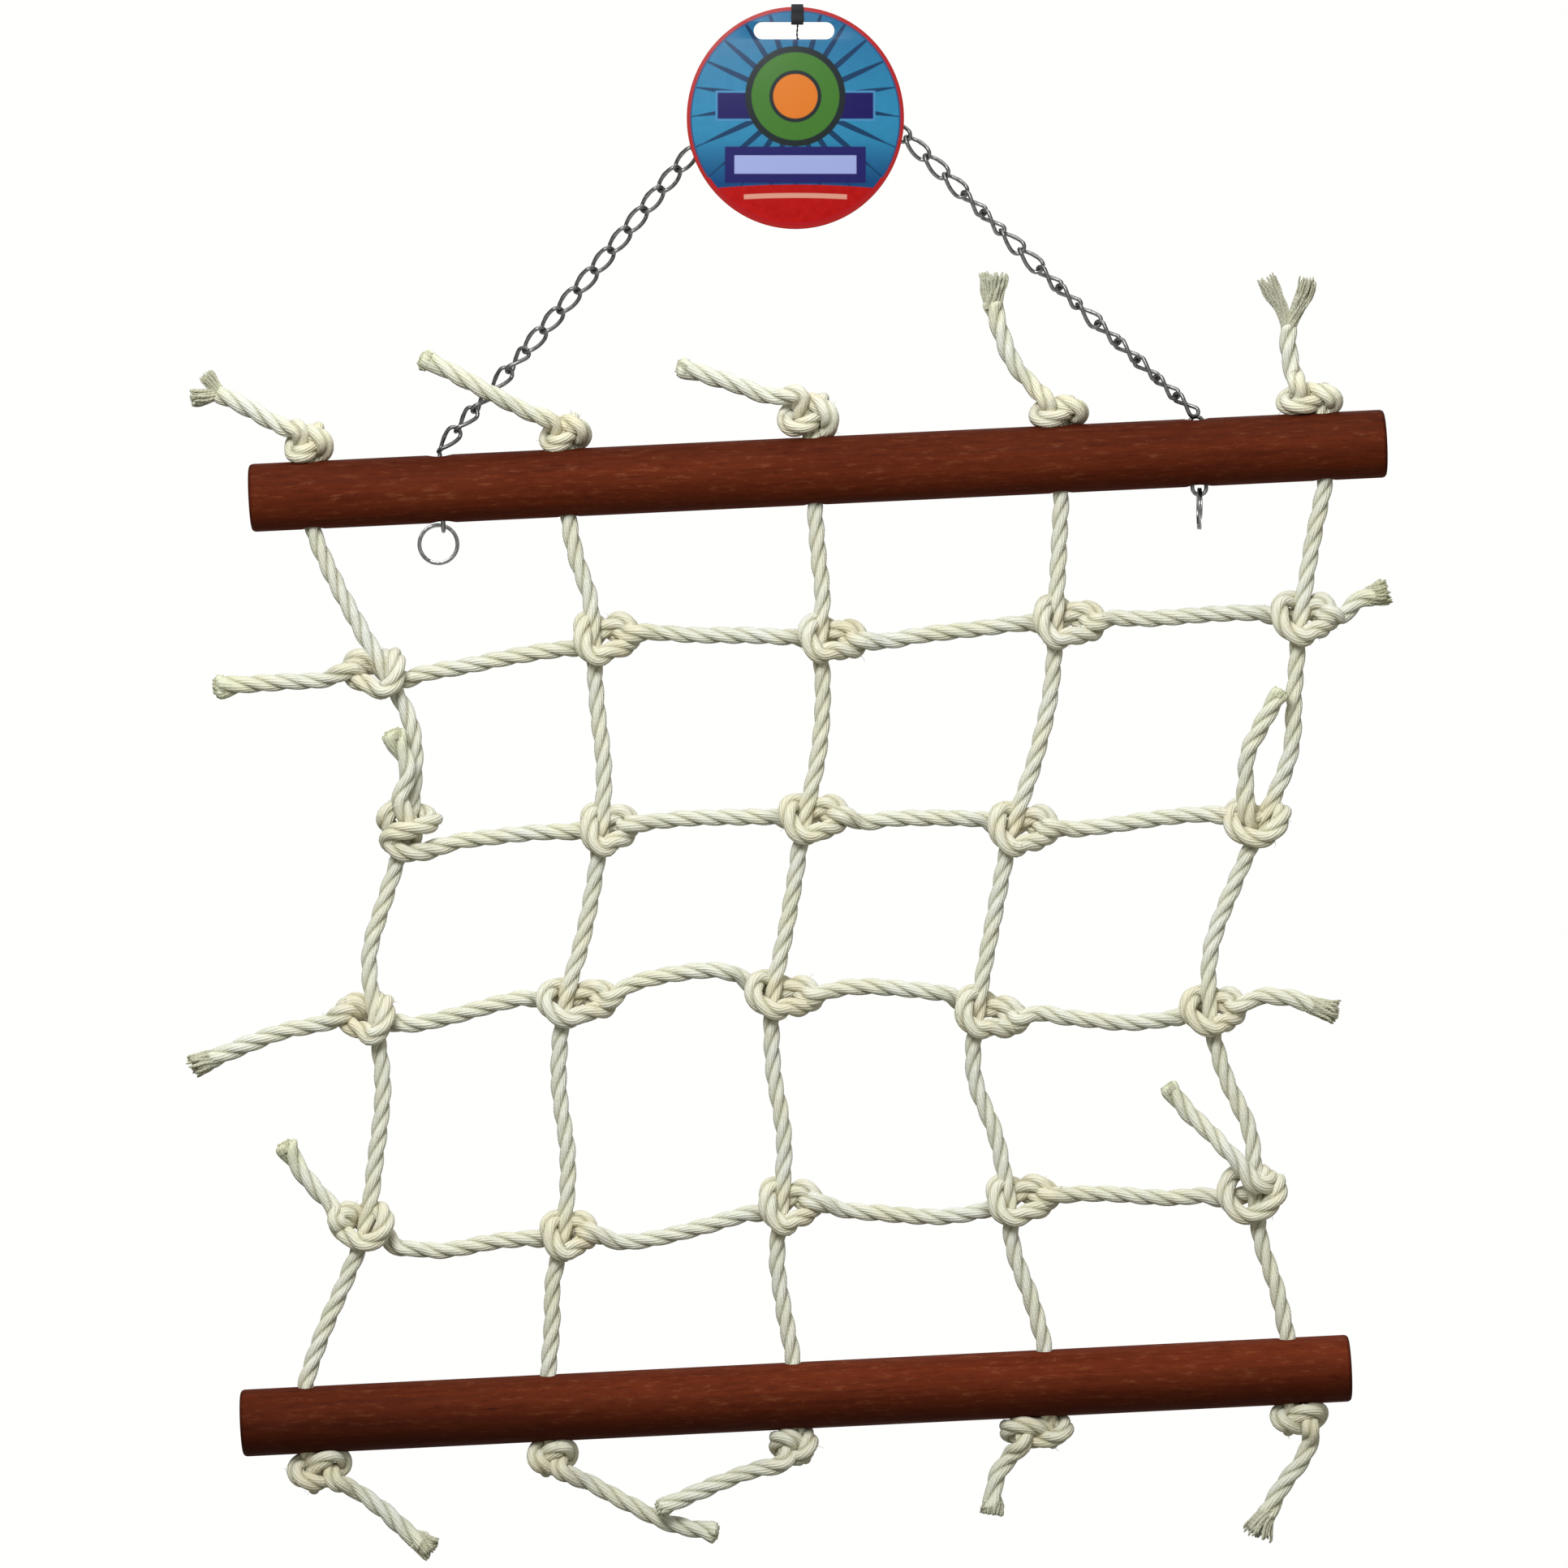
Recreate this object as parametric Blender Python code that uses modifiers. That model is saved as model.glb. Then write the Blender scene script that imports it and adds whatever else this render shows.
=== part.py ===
"""Knotted rope cargo net for a bird cage: two round wooden bars, five upright
ropes, four cross ropes tied round them, a link chain that carries the upper
bar, two stopper rings, and a round card tag tied to the top link.

Units are metres, +Z is up.  X runs along the bars, Y is the thin direction
(-Y is the front).  The origin is the middle of the top wire of the chain's top
link, where a hook carries the whole toy.  The bars hang with a small lean.
"""
import bpy
import bmesh
import math
from mathutils import Vector, Matrix

MM = 0.001

# ---- driving dimensions (millimetres) -------------------------------------
LEAN_DEG = 2.75            # the bars hang with their right ends this much up
BAR_D = 25.4               # one inch dowel
BAR_CHAMFER = 0.9
TOP_BAR = dict(x=8.0, z=-158.0, length=421.0)
BOTTOM_BAR = dict(x=0.5, z=-499.5, length=410.0)
ROPE_D = 6.3               # quarter inch three-strand rope
ROPE_HOLE_D = 7.25
CHAIN_HOLE_D = 8.3
CHAIN_HOLES_X = (-130.5, 149.0)
LINK_WIRE = 1.5
LINK_W = 6.6               # outer width of a link
LINK_PITCH = 9.75
RUN_LINKS = 20             # links from the top link to each end of the bar
RING_OD = 15.5
RING_WIRE = 1.6
GAP = 0.3                  # air between pieces that touch on the real toy
TAG_W, TAG_H, TAG_T = 80.2, 82.0, 0.6
TAG_C = (0.3, -28.0)
TAG_Y = -5.0
SLOT_C, SLOT_W, SLOT_H = (-0.2, 4.2), 29.8, 6.4
TIE_X = 1.0

# height at x = 0 of each line that the net folds on, all parallel to the bars
ROLL_Z = -144.05           # where the chain meets the top bar
FOLD_Z = (-173.6, -237.9, -308.4, -376.8, -449.0, -484.0)

# ---- layout of the ropes (millimetres, x and z) ----------------------------
# Where each upright goes through the upper bar, through each row of knots and
# into the lower bar, and how far each span bows sideways at its thirds.
HOLES_TOP = (-178.6, -84.2, 6.8, 98.0, 195.5)
HOLES_BOTTOM = (-179.9, -90.4, 0.1, 93.1, 182.6)
CROSSINGS = (
    ((-151.0, -233.0), (-143.5, -291.5), (-155.0, -360.5), (-158.5, -437.5)),
    ((-74.5, -221.0), (-71.5, -291.0), (-85.0, -355.0), (-85.5, -441.0)),
    ((9.5, -220.0), (3.5, -287.0), (-8.0, -352.0), (-5.0, -430.0)),
    ((96.5, -214.0), (80.5, -290.5), (67.5, -358.0), (79.0, -428.0)),
    ((187.0, -213.0), (173.0, -287.5), (153.5, -358.0), (170.5, -424.5)),
)
UPRIGHT_BOW = (
    ((-1.5, -1.0), (7.0, 5.5), (-3.5, -6.0), (4.0, 2.5), (0.0, -1.0)),
    ((0.0, 2.0), (0.5, 2.0), (1.5, 1.5), (-2.0, 1.5), (-2.0, -0.5)),
    ((0.5, 1.5), (3.0, 3.0), (0.5, 0.5), (-1.0, 2.0), (-3.0, -2.0)),
    ((0.0, 0.0), (3.5, 3.0), (-0.5, -0.5), (-5.0, -0.5), (-2.5, -0.5)),
    ((-0.5, -0.5), (2.5, 5.5), (-4.0, -6.0), (-0.5, 3.5), (-2.0, 0.0)),
)
# Middle of each knot lump, its half width and half height, row by row.
KNOTS = (
    ((-155.5, -233.0), (-68.5, -221.0), (15.5, -220.0), (100.0, -214.0), (187.0, -213.0)),
    ((-142.5, -291.5), (-68.0, -291.0), (7.0, -287.0), (83.5, -290.5), (167.5, -287.5)),
    ((-158.5, -360.5), (-79.5, -355.0), (-4.0, -352.0), (71.0, -358.0), (153.5, -358.0)),
    ((-158.0, -437.5), (-83.0, -441.0), (-1.0, -430.0), (86.0, -428.0), (168.5, -424.5)),
)
KNOT_HALF = (12.6, 9.0, 9.6)   # x, y, z
CROSS_BOW = (
    ((-2.0, -0.5), (2.0, 1.5), (-1.0, 0.0), (1.0, 2.5)),
    ((-2.5, -0.5), (3.0, 2.5), (1.5, 3.0), (0.0, 2.5)),
    ((-2.0, 2.5), (8.5, 10.5), (5.5, 6.0), (-2.0, -4.0)),
    ((-7.5, -3.0), (-5.0, -2.5), (-3.0, -5.0), (1.5, -1.0)),
)
# Free ends of the cross ropes, from the end knot outwards: x, y, z.
CROSS_TAIL_LEFT = (
    ((-173.5, 0.0, -235.0), (-188.5, 0.0, -236.0), (-203.5, 0.0, -237.0), (-214.0, 0.0, -238.0)),
    ((-145.5, -6.6, -280.0), (-142.5, -7.2, -269.0), (-148.5, -7.2, -254.5)),
    ((-173.5, 0.0, -362.0), (-188.5, 0.0, -365.0), (-203.5, 0.0, -370.5), (-220.5, 0.0, -377.5)),
    ((-170.0, 0.0, -431.0), (-175.5, 0.0, -425.0), (-182.0, 0.0, -417.5), (-188.5, 0.0, -406.5)),
)
CROSS_TAIL_RIGHT = (
    ((201.5, 0.0, -212.0), (209.0, 0.0, -205.5), (217.0, 0.0, -203.0)),
    ((166.5, -4.0, -276.5), (167.0, -6.5, -263.0), (172.0, -7.4, -252.5), (179.5, -7.4, -239.0)),
    ((171.5, 0.0, -352.5), (183.5, 0.0, -353.0), (198.5, 0.0, -358.0)),
    ((164.0, -7.2, -413.5), (160.0, -7.0, -409.5), (153.5, -4.0, -402.5), (145.5, -1.0, -395.0), (137.5, 0.0, -385.0)),
)
# Stopper knots on the bars: middle of the lump and half sizes, then the tail.
TOP_STOPPERS = (
    dict(x=-178.8, half=(9.6, 8.6, 7.0), tail=((-189.5, 0.0, -141.5), (-203.5, 0.0, -134.0), (-222.5, 0.0, -125.0))),
    dict(x=-84.4, half=(9.8, 8.6, 6.6), tail=((-98.5, -6.0, -136.5), (-113.5, -9.6, -129.0), (-128.5, -10.0, -121.0), (-137.5, -10.0, -117.0))),
    dict(x=6.4, half=(11.0, 9.0, 8.6), tail=((-8.5, 0.0, -130.5), (-23.5, 0.0, -125.5), (-43.0, 0.0, -119.5))),
    dict(x=98.3, half=(10.6, 8.8, 6.8), tail=((89.0, 0.0, -127.5), (81.5, 0.0, -119.0), (77.0, 0.0, -109.0), (73.5, 0.0, -96.5), (73.0, 0.0, -88.5))),
    dict(x=191.5, half=(11.6, 9.0, 6.8), tail=((184.5, 0.0, -122.5), (182.5, 0.0, -112.5), (182.5, 0.0, -104.0), (182.5, 0.0, -88.0))),
)
BOTTOM_STOPPERS = (
    dict(x=-173.5, half=(9.8, 8.6, 7.2), tail=((-163.0, 0.0, -534.5), (-151.0, 0.0, -543.0), (-143.5, 0.0, -550.0), (-134.5, 0.0, -556.5))),
    dict(x=-90.4, half=(9.4, 8.6, 7.2), tail=((-76.0, 0.0, -532.0), (-61.0, 0.0, -540.0), (-46.0, 0.0, -547.0), (-28.5, 0.0, -550.5))),
    dict(x=-1.4, half=(9.8, 8.6, 7.4), tail=((-16.0, -2.0, -527.5), (-31.0, -5.0, -533.0), (-50.0, -7.4, -541.0))),
    dict(x=88.5, half=(10.2, 8.6, 7.0), tail=((80.0, 0.0, -522.0), (74.5, 0.0, -530.5), (73.0, 0.0, -542.5))),
    dict(x=185.8, half=(10.4, 8.6, 6.6), tail=((190.5, 0.0, -516.5), (188.0, 0.0, -523.0), (180.5, 0.0, -533.0), (171.5, 0.0, -549.0))),
)
# Route of each side of the chain, from the top link down to the bar.
CHAIN_LEFT = ((-4.65, -2.6), (-38.5, -41.0), (-77.0, -87.5))
CHAIN_RIGHT = ((4.65, -2.6), (41.5, -35.0), (95.0, -87.5))

SLOPE = math.tan(math.radians(LEAN_DEG))
ALONG = Vector((math.cos(math.radians(LEAN_DEG)), 0.0, math.sin(math.radians(LEAN_DEG))))
UPWARD = Vector((-math.sin(math.radians(LEAN_DEG)), 0.0, math.cos(math.radians(LEAN_DEG))))

# ---- a clean scene ----------------------------------------------------------
for old in list(bpy.data.objects):
    bpy.data.objects.remove(old, do_unlink=True)

parts = bpy.data.collections.new("cargo_net")
cutters = bpy.data.collections.new("cutters")
bpy.context.scene.collection.children.link(parts)
bpy.context.scene.collection.children.link(cutters)


def material(name, colour, roughness, metallic=0.0):
    mat = bpy.data.materials.new(name)
    mat.use_nodes = True
    shader = mat.node_tree.nodes["Principled BSDF"]
    shader.inputs["Base Color"].default_value = (*colour, 1.0)
    shader.inputs["Roughness"].default_value = roughness
    shader.inputs["Metallic"].default_value = metallic
    return mat


WOOD = material("stained_wood", (0.135, 0.028, 0.016), 0.55)
ROPE = material("sisal_rope", (0.78, 0.74, 0.60), 0.9)
STEEL = material("dark_steel", (0.20, 0.20, 0.20), 0.35, 1.0)
CARD = material("printed_card", (0.05, 0.26, 0.48), 0.35)
TIE = material("black_tie", (0.02, 0.02, 0.025), 0.5)


def keep(obj, mat, collection=parts):
    for c in list(obj.users_collection):
        c.objects.unlink(obj)
    collection.objects.link(obj)
    if mat is not None:
        obj.data.materials.clear()
        obj.data.materials.append(mat)
    return obj


def smooth(obj, angle=45.0):
    obj.data.shade_smooth()
    obj.data.set_sharp_from_angle(angle=math.radians(angle))
    return obj


def as_cutter(obj):
    keep(obj, None, cutters)
    obj.hide_render = True
    obj.display_type = 'WIRE'
    return obj


def v(x, z, y=0.0):
    return Vector((x, y, z))


def smooth_path(points, step):
    """Even points on a centripetal Catmull-Rom curve through the given ones."""
    pts = [points[0] * 2 - points[1]] + list(points) + [points[-1] * 2 - points[-2]]
    dense = []
    for p0, p1, p2, p3 in zip(pts, pts[1:], pts[2:], pts[3:]):
        t0 = 0.0
        t1 = t0 + max((p1 - p0).length, 1e-6) ** 0.5
        t2 = t1 + max((p2 - p1).length, 1e-6) ** 0.5
        t3 = t2 + max((p3 - p2).length, 1e-6) ** 0.5
        for i in range(24):
            t = t1 + (t2 - t1) * i / 24
            a1 = p0 * ((t1 - t) / (t1 - t0)) + p1 * ((t - t0) / (t1 - t0))
            a2 = p1 * ((t2 - t) / (t2 - t1)) + p2 * ((t - t1) / (t2 - t1))
            a3 = p2 * ((t3 - t) / (t3 - t2)) + p3 * ((t - t2) / (t3 - t2))
            b1 = a1 * ((t2 - t) / (t2 - t0)) + a2 * ((t - t0) / (t2 - t0))
            b2 = a2 * ((t3 - t) / (t3 - t1)) + a3 * ((t - t1) / (t3 - t1))
            dense.append(b1 * ((t2 - t) / (t2 - t1)) + b2 * ((t - t1) / (t2 - t1)))
    dense.append(points[-1].copy())
    return even(dense, step)


def even(dense, step):
    total = sum((b - a).length for a, b in zip(dense, dense[1:]))
    count = max(1, round(total / step))
    out, want, done = [dense[0].copy()], total / count, 0.0
    for a, b in zip(dense, dense[1:]):
        seg = (b - a).length
        while seg > 0 and done + seg >= want * len(out) - 1e-9 and len(out) < count:
            out.append(a.lerp(b, (want * len(out) - done) / seg))
        done += seg
    out.append(dense[-1].copy())
    return out


def at_length(path, s):
    for a, b in zip(path, path[1:]):
        seg = (b - a).length
        if s <= seg:
            return a.lerp(b, s / seg), (b - a).normalized()
        s -= seg
    d = (path[-1] - path[-2]).normalized()
    return path[-1] + d * s, d


def tube(name, points, radius, mat, resolution=1):
    """A curve tube with filled caps through points in millimetres."""
    data = bpy.data.curves.new(name, 'CURVE')
    data.dimensions = '3D'
    data.bevel_depth = radius * MM
    data.bevel_resolution = resolution
    data.use_fill_caps = True
    line = data.splines.new('POLY')
    line.points.add(len(points) - 1)
    for p, q in zip(line.points, points):
        p.co = (q.x * MM, q.y * MM, q.z * MM, 1.0)
    obj = bpy.data.objects.new(name, data)
    parts.objects.link(obj)
    if mat is not None:
        data.materials.append(mat)
    return obj


def to_mesh(obj):
    """The tube as a welded mesh, ready for a Boolean."""
    bpy.context.view_layer.update()
    ready = obj.evaluated_get(bpy.context.evaluated_depsgraph_get())
    mesh = bpy.data.meshes.new_from_object(ready)
    name, mats, where = obj.name, list(obj.data.materials), obj.matrix_world.copy()
    bm = bmesh.new()
    bm.from_mesh(mesh)
    bmesh.ops.remove_doubles(bm, verts=bm.verts, dist=0.00001)
    bmesh.ops.recalc_face_normals(bm, faces=bm.faces)
    bm.to_mesh(mesh)
    bm.free()
    bpy.data.objects.remove(obj, do_unlink=True)
    new = bpy.data.objects.new(name, mesh)
    new.matrix_world = where
    parts.objects.link(new)
    if not mesh.materials:
        for m in mats:
            mesh.materials.append(m)
    return new


def boolean(obj, other, operation):
    mod = obj.modifiers.new(operation.lower(), 'BOOLEAN')
    mod.operation = operation
    mod.solver = 'EXACT'
    mod.object = other
    return mod


def bake(obj):
    """Apply the modifiers by replacing the mesh with the evaluated one."""
    bpy.context.view_layer.update()
    ready = obj.evaluated_get(bpy.context.evaluated_depsgraph_get())
    mesh = bpy.data.meshes.new_from_object(ready)
    obj.modifiers.clear()
    obj.data = mesh
    return obj


def lump(centre, half, segments=8, rings=6):
    """A rounded knot body."""
    bpy.ops.mesh.primitive_uv_sphere_add(segments=segments, ring_count=rings, radius=1.0)
    obj = bpy.context.object
    obj.data.transform(Matrix.Translation(centre * MM) @ Matrix.Rotation(-math.radians(LEAN_DEG), 4, 'Y')
                       @ Matrix.Diagonal((half[0] * MM, half[1] * MM, half[2] * MM, 1.0)))
    return obj


def join(objs):
    bpy.ops.object.select_all(action='DESELECT')
    for o in objs:
        o.select_set(True)
    bpy.context.view_layer.objects.active = objs[0]
    bpy.ops.object.join()
    return bpy.context.view_layer.objects.active


def drop(*objs):
    for o in objs:
        bpy.data.objects.remove(o, do_unlink=True)


def bar_point(bar, x, t=0.0):
    """A point t above the bar's axis, on the perpendicular through x."""
    base = v(x, bar['z'] + (x - bar['x']) * SLOPE)
    return base + UPWARD * t


# ---- the wooden bars --------------------------------------------------------
def rod(name, bar, rope_holes, chain_holes):
    bpy.ops.mesh.primitive_cylinder_add(vertices=32, radius=BAR_D / 2 * MM, depth=bar['length'] * MM)
    obj = bpy.context.object
    obj.name = name
    # along X, then leaned
    turn = Matrix.Rotation(-math.radians(LEAN_DEG), 4, 'Y') @ Matrix.Rotation(math.radians(90), 4, 'Y')
    obj.data.transform(turn)
    obj.location = v(bar['x'], bar['z']) * MM
    keep(obj, WOOD)
    bevel = obj.modifiers.new("edge", 'BEVEL')
    bevel.width = BAR_CHAMFER * MM
    bevel.segments = 1
    bevel.limit_method = 'ANGLE'
    bevel.angle_limit = math.radians(60)
    drills = []
    for x, d in [(x, ROPE_HOLE_D) for x in rope_holes] + [(x, CHAIN_HOLE_D) for x in chain_holes]:
        bpy.ops.mesh.primitive_cylinder_add(vertices=12, radius=d / 2 * MM, depth=(BAR_D + 10) * MM)
        drill = bpy.context.object
        drill.data.transform(Matrix.Translation(bar_point(bar, x) * MM)
                             @ Matrix.Rotation(-math.radians(LEAN_DEG), 4, 'Y'))
        drills.append(drill)
    drill = as_cutter(join(drills))
    drill.name = name + "_drills"
    boolean(obj, drill, 'DIFFERENCE')
    smooth(obj)
    return obj


top_bar = rod("top_bar", TOP_BAR, HOLES_TOP, CHAIN_HOLES_X)
bottom_bar = rod("bottom_bar", BOTTOM_BAR, HOLES_BOTTOM, ())


# ---- chain links --------------------------------------------------------------
def link_mesh(name, length, width, wire, sides=6, steps=10):
    """A flat oval link in the XZ plane, long way along Z, made of round wire."""
    straight = (length - width) / 2
    r = (width - wire) / 2
    pts = []
    half = steps // 2
    for i in range(half):
        a = math.pi * i / (half - 1)
        pts.append(Vector((math.cos(a) * r, 0, straight + math.sin(a) * r)))
    for i in range(half):
        a = math.pi + math.pi * i / (half - 1)
        pts.append(Vector((math.cos(a) * r, 0, -straight + math.sin(a) * r)))
    bm = bmesh.new()
    rows = []
    n = len(pts)
    for i, p in enumerate(pts):
        t = (pts[(i + 1) % n] - pts[i - 1]).normalized()
        out = Vector((t.z, 0, -t.x))
        row = []
        for k in range(sides):
            a = 2 * math.pi * k / sides
            row.append(bm.verts.new((p + out * (math.cos(a) * wire / 2) + Vector((0, 1, 0)) * (math.sin(a) * wire / 2)) * MM))
        rows.append(row)
    for i in range(n):
        a, b = rows[i], rows[(i + 1) % n]
        for k in range(sides):
            bm.faces.new((a[k], a[(k + 1) % sides], b[(k + 1) % sides], b[k]))
    bmesh.ops.recalc_face_normals(bm, faces=bm.faces)
    mesh = bpy.data.meshes.new(name)
    bm.to_mesh(mesh)
    bm.free()
    obj = bpy.data.objects.new(name, mesh)
    parts.objects.link(obj)
    return obj


def place_along(obj, centre, direction, spin):
    """Long way along direction, turned by spin about it from the front plane."""
    z = direction.normalized()
    y = Vector((0, 1, 0))
    x = y.cross(z).normalized()
    y = z.cross(x)
    m = Matrix((x, y, z)).transposed().to_4x4()
    obj.data.transform(Matrix.Translation(centre * MM) @ m @ Matrix.Rotation(spin, 4, 'Z'))
    return obj


apex = link_mesh("apex_link", LINK_PITCH + 2 * LINK_WIRE, LINK_W, LINK_WIRE, 6, 14)
place_along(apex, v(0, -(LINK_W - LINK_WIRE) / 2), Vector((1, 0, 0)), 0.0)
keep(apex, STEEL)
smooth(apex)


def chain_run(name, route, hole_x):
    """One side of the chain, its links made one body where they touch."""
    end = v(0, ROLL_Z + hole_x * SLOPE) + Vector((hole_x, 0, 0))
    end = bar_point(TOP_BAR, hole_x, ROLL_Z - (TOP_BAR['z'] - TOP_BAR['x'] * SLOPE))
    pts = [v(x, z) for x, z in route] + [end]
    path = smooth_path(pts, 2.0)
    total = sum((b - a).length for a, b in zip(path, path[1:]))
    pitch = total / RUN_LINKS
    first_gap, last_gap = 3.0, 0.9
    links = []
    for i in range(RUN_LINKS):
        lo = i * pitch - LINK_WIRE + 0.15
        hi = (i + 1) * pitch + LINK_WIRE - 0.15
        if i == 0:
            lo = first_gap
        if i == RUN_LINKS - 1:
            hi = total - last_gap
        centre, _ = at_length(path, (lo + hi) / 2)
        a, _ = at_length(path, max(0.0, lo))
        b, _ = at_length(path, hi)
        one = link_mesh("link", hi - lo, LINK_W, LINK_WIRE + 0.2, 4, 8)
        place_along(one, centre, b - a, math.radians(45 if i % 2 else -45))
        links.append(one)
    odd = join(links[1::2])
    whole = links[0] if len(links[0::2]) == 1 else join(links[0::2])
    whole.name = name
    boolean(whole, odd, 'UNION')
    bake(whole)
    drop(odd)
    keep(whole, STEEL)
    smooth(whole)
    return path


left_path = chain_run("left_chain_run", CHAIN_LEFT, CHAIN_HOLES_X[0])
right_path = chain_run("right_chain_run", CHAIN_RIGHT, CHAIN_HOLES_X[1])

# the three links that stand in each bore, and the stopper ring under the bar
WIRE_T = -(BAR_D / 2 + GAP + RING_WIRE / 2)      # ring wire's centre, below the bar's axis
for side, hole_x, first_spin in (("left", CHAIN_HOLES_X[0], 90.0), ("right", CHAIN_HOLES_X[1], 0.0)):
    low = WIRE_T - RING_WIRE / 2 - GAP - LINK_WIRE
    length = LINK_PITCH + 2 * LINK_WIRE + GAP
    for k in range(3):
        bottom = low + k * LINK_PITCH
        top = bottom + length
        if k == 2:
            top = BAR_D / 2 + 1.35
        one = link_mesh(side + "_bore_link_%d" % (3 - k), top - bottom, LINK_W, LINK_WIRE, 6, 12)
        spin = math.radians(first_spin + 90.0 * k)
        place_along(one, bar_point(TOP_BAR, hole_x, (top + bottom) / 2), UPWARD, spin)
        keep(one, STEEL)
        smooth(one)
    bpy.ops.mesh.primitive_torus_add(major_radius=(RING_OD - RING_WIRE) / 2 * MM, minor_radius=RING_WIRE / 2 * MM,
                                     major_segments=20, minor_segments=6)
    ring = bpy.context.object
    ring.name = side + "_split_ring"
    turn = Matrix.Rotation(math.radians(90), 4, 'X')
    if side == "right":
        turn = Matrix.Rotation(math.radians(90), 4, 'Y')
    pivot = bar_point(TOP_BAR, hole_x, WIRE_T)
    ring.data.transform(Matrix.Translation((pivot - v(0, (RING_OD - RING_WIRE) / 2) ) * MM) @ turn)
    keep(ring, STEEL)
    smooth(ring)


# ---- the tag and its tie ---------------------------------------------------------
def tag():
    data = bpy.data.curves.new("hang_tag", 'CURVE')
    data.dimensions = '2D'
    data.fill_mode = 'BOTH'
    data.extrude = TAG_T / 2 * MM
    rim = data.splines.new('POLY')
    n = 48
    rim.points.add(n - 1)
    for i in range(n):
        a = 2 * math.pi * i / n
        rim.points[i].co = ((TAG_C[0] + math.cos(a) * TAG_W / 2) * MM, (TAG_C[1] + math.sin(a) * TAG_H / 2) * MM, 0, 1)
    rim.use_cyclic_u = True
    slot = data.splines.new('POLY')
    r, half = SLOT_H / 2, (SLOT_W - SLOT_H) / 2
    outline = []
    for side in (1, -1):
        for i in range(7):
            a = -math.pi / 2 + math.pi * i / 6
            outline.append((SLOT_C[0] + side * (half + math.cos(a) * r), SLOT_C[1] + side * math.sin(a) * r))
    slot.points.add(len(outline) - 1)
    for p, q in zip(slot.points, outline):
        p.co = (q[0] * MM, q[1] * MM, 0, 1)
    slot.use_cyclic_u = True
    obj = bpy.data.objects.new("hang_tag", data)
    parts.objects.link(obj)
    obj.rotation_euler = (math.radians(90), 0, 0)
    obj.location = (0, TAG_Y * MM, 0)
    data.materials.append(CARD)
    return to_mesh(obj)


tag()


def box(lo, hi):
    bpy.ops.mesh.primitive_cube_add(size=1.0)
    obj = bpy.context.object
    size = Vector(hi) - Vector(lo)
    mid = (Vector(hi) + Vector(lo)) / 2
    obj.data.transform(Matrix.Translation(mid * MM) @ Matrix.Diagonal((size.x * MM, size.y * MM, size.z * MM, 1)))
    return obj


strip_low, strip_high = SLOT_C[1] + SLOT_H / 2, TAG_C[1] + TAG_H / 2
y_front, y_back = TAG_Y - TAG_T / 2, TAG_Y + TAG_T / 2
band = box((TIE_X - 2.3, y_front - 0.8, strip_low - 0.8), (TIE_X + 2.3, y_back + 0.8, strip_high + 0.8))
inside = box((TIE_X - 4, y_front - GAP, strip_low - GAP), (TIE_X + 4, y_back + GAP, strip_high + GAP))
band.name = "tag_tie"
as_cutter(inside)
boolean(band, inside, 'DIFFERENCE')
bake(band)
bpy.ops.mesh.primitive_torus_add(major_radius=1.65 * MM, minor_radius=0.5 * MM, major_segments=16, minor_segments=6)
loop = bpy.context.object
loop.data.transform(Matrix.Translation(v(TIE_X, 0) * MM) @ Matrix.Rotation(math.radians(90), 4, 'Y'))
stem = to_mesh(tube("stem", smooth_path([Vector((TIE_X, y_back + 0.6, strip_low + 1.2)), Vector((TIE_X, y_back + 0.9, strip_low - 1.5)),
                                         Vector((TIE_X, -2.6, 3.4)), Vector((TIE_X, -1.2, 1.2))], 1.6), 0.62, None, 1))
boolean(band, stem, 'UNION')
bake(band)
boolean(band, loop, 'UNION')
bake(band)
drop(inside, stem, loop)
keep(band, TIE)


# ---- ropes -------------------------------------------------------------------------
ROPE_R = ROPE_D / 2
HALF_SPLIT = 1.5          # each rope stops this far from a fold line


def upright_points(c):
    """Design points of one upright from the upper bar's underside down."""
    start = bar_point(TOP_BAR, HOLES_TOP[c], -BAR_D / 2)
    finish = bar_point(BOTTOM_BAR, HOLES_BOTTOM[c], BAR_D / 2)
    stations = [start] + [v(x, z) for x, z in CROSSINGS[c]] + [finish]
    pts = [bar_point(TOP_BAR, HOLES_TOP[c], -BAR_D / 2 + 4.0), start]
    for (a, b), bows in zip(zip(stations, stations[1:]), UPRIGHT_BOW[c]):
        for f, bow in zip((1 / 3, 2 / 3), bows):
            pts.append(a.lerp(b, f) + Vector((bow, 0, 0)))
        pts.append(b)
    pts.append(bar_point(BOTTOM_BAR, HOLES_BOTTOM[c], BAR_D / 2 - 4.0))
    return pts


def height_over(p, z0):
    """Distance of a point above a fold line, square to the bars."""
    return (p.z - z0 - p.x * SLOPE) * math.cos(math.radians(LEAN_DEG))


def cut_between(path, z_high, z_low):
    """The stretch of a fine downward path between two fold lines."""
    out = []
    for a, b in zip(path, path[1:]):
        for z0, edge in ((z_high, -HALF_SPLIT), (z_low, HALF_SPLIT)):
            ha, hb = height_over(a, z0) - edge, height_over(b, z0) - edge
            if ha > 0 >= hb:
                out.append(a.lerp(b, ha / (ha - hb)))
        if height_over(b, z_high) < -HALF_SPLIT and height_over(b, z_low) > HALF_SPLIT:
            out.append(b)
    out.sort(key=lambda p: -p.z)
    return out


fine = [smooth_path(upright_points(c), 1.0) for c in range(5)]

for c in range(5):
    for k in range(5):
        stretch = even(cut_between(fine[c], FOLD_Z[k], FOLD_Z[k + 1]), 11.0)
        tube("upright_%d_span_%d" % (c + 1, k + 1), stretch, ROPE_R, ROPE, 1)


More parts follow.
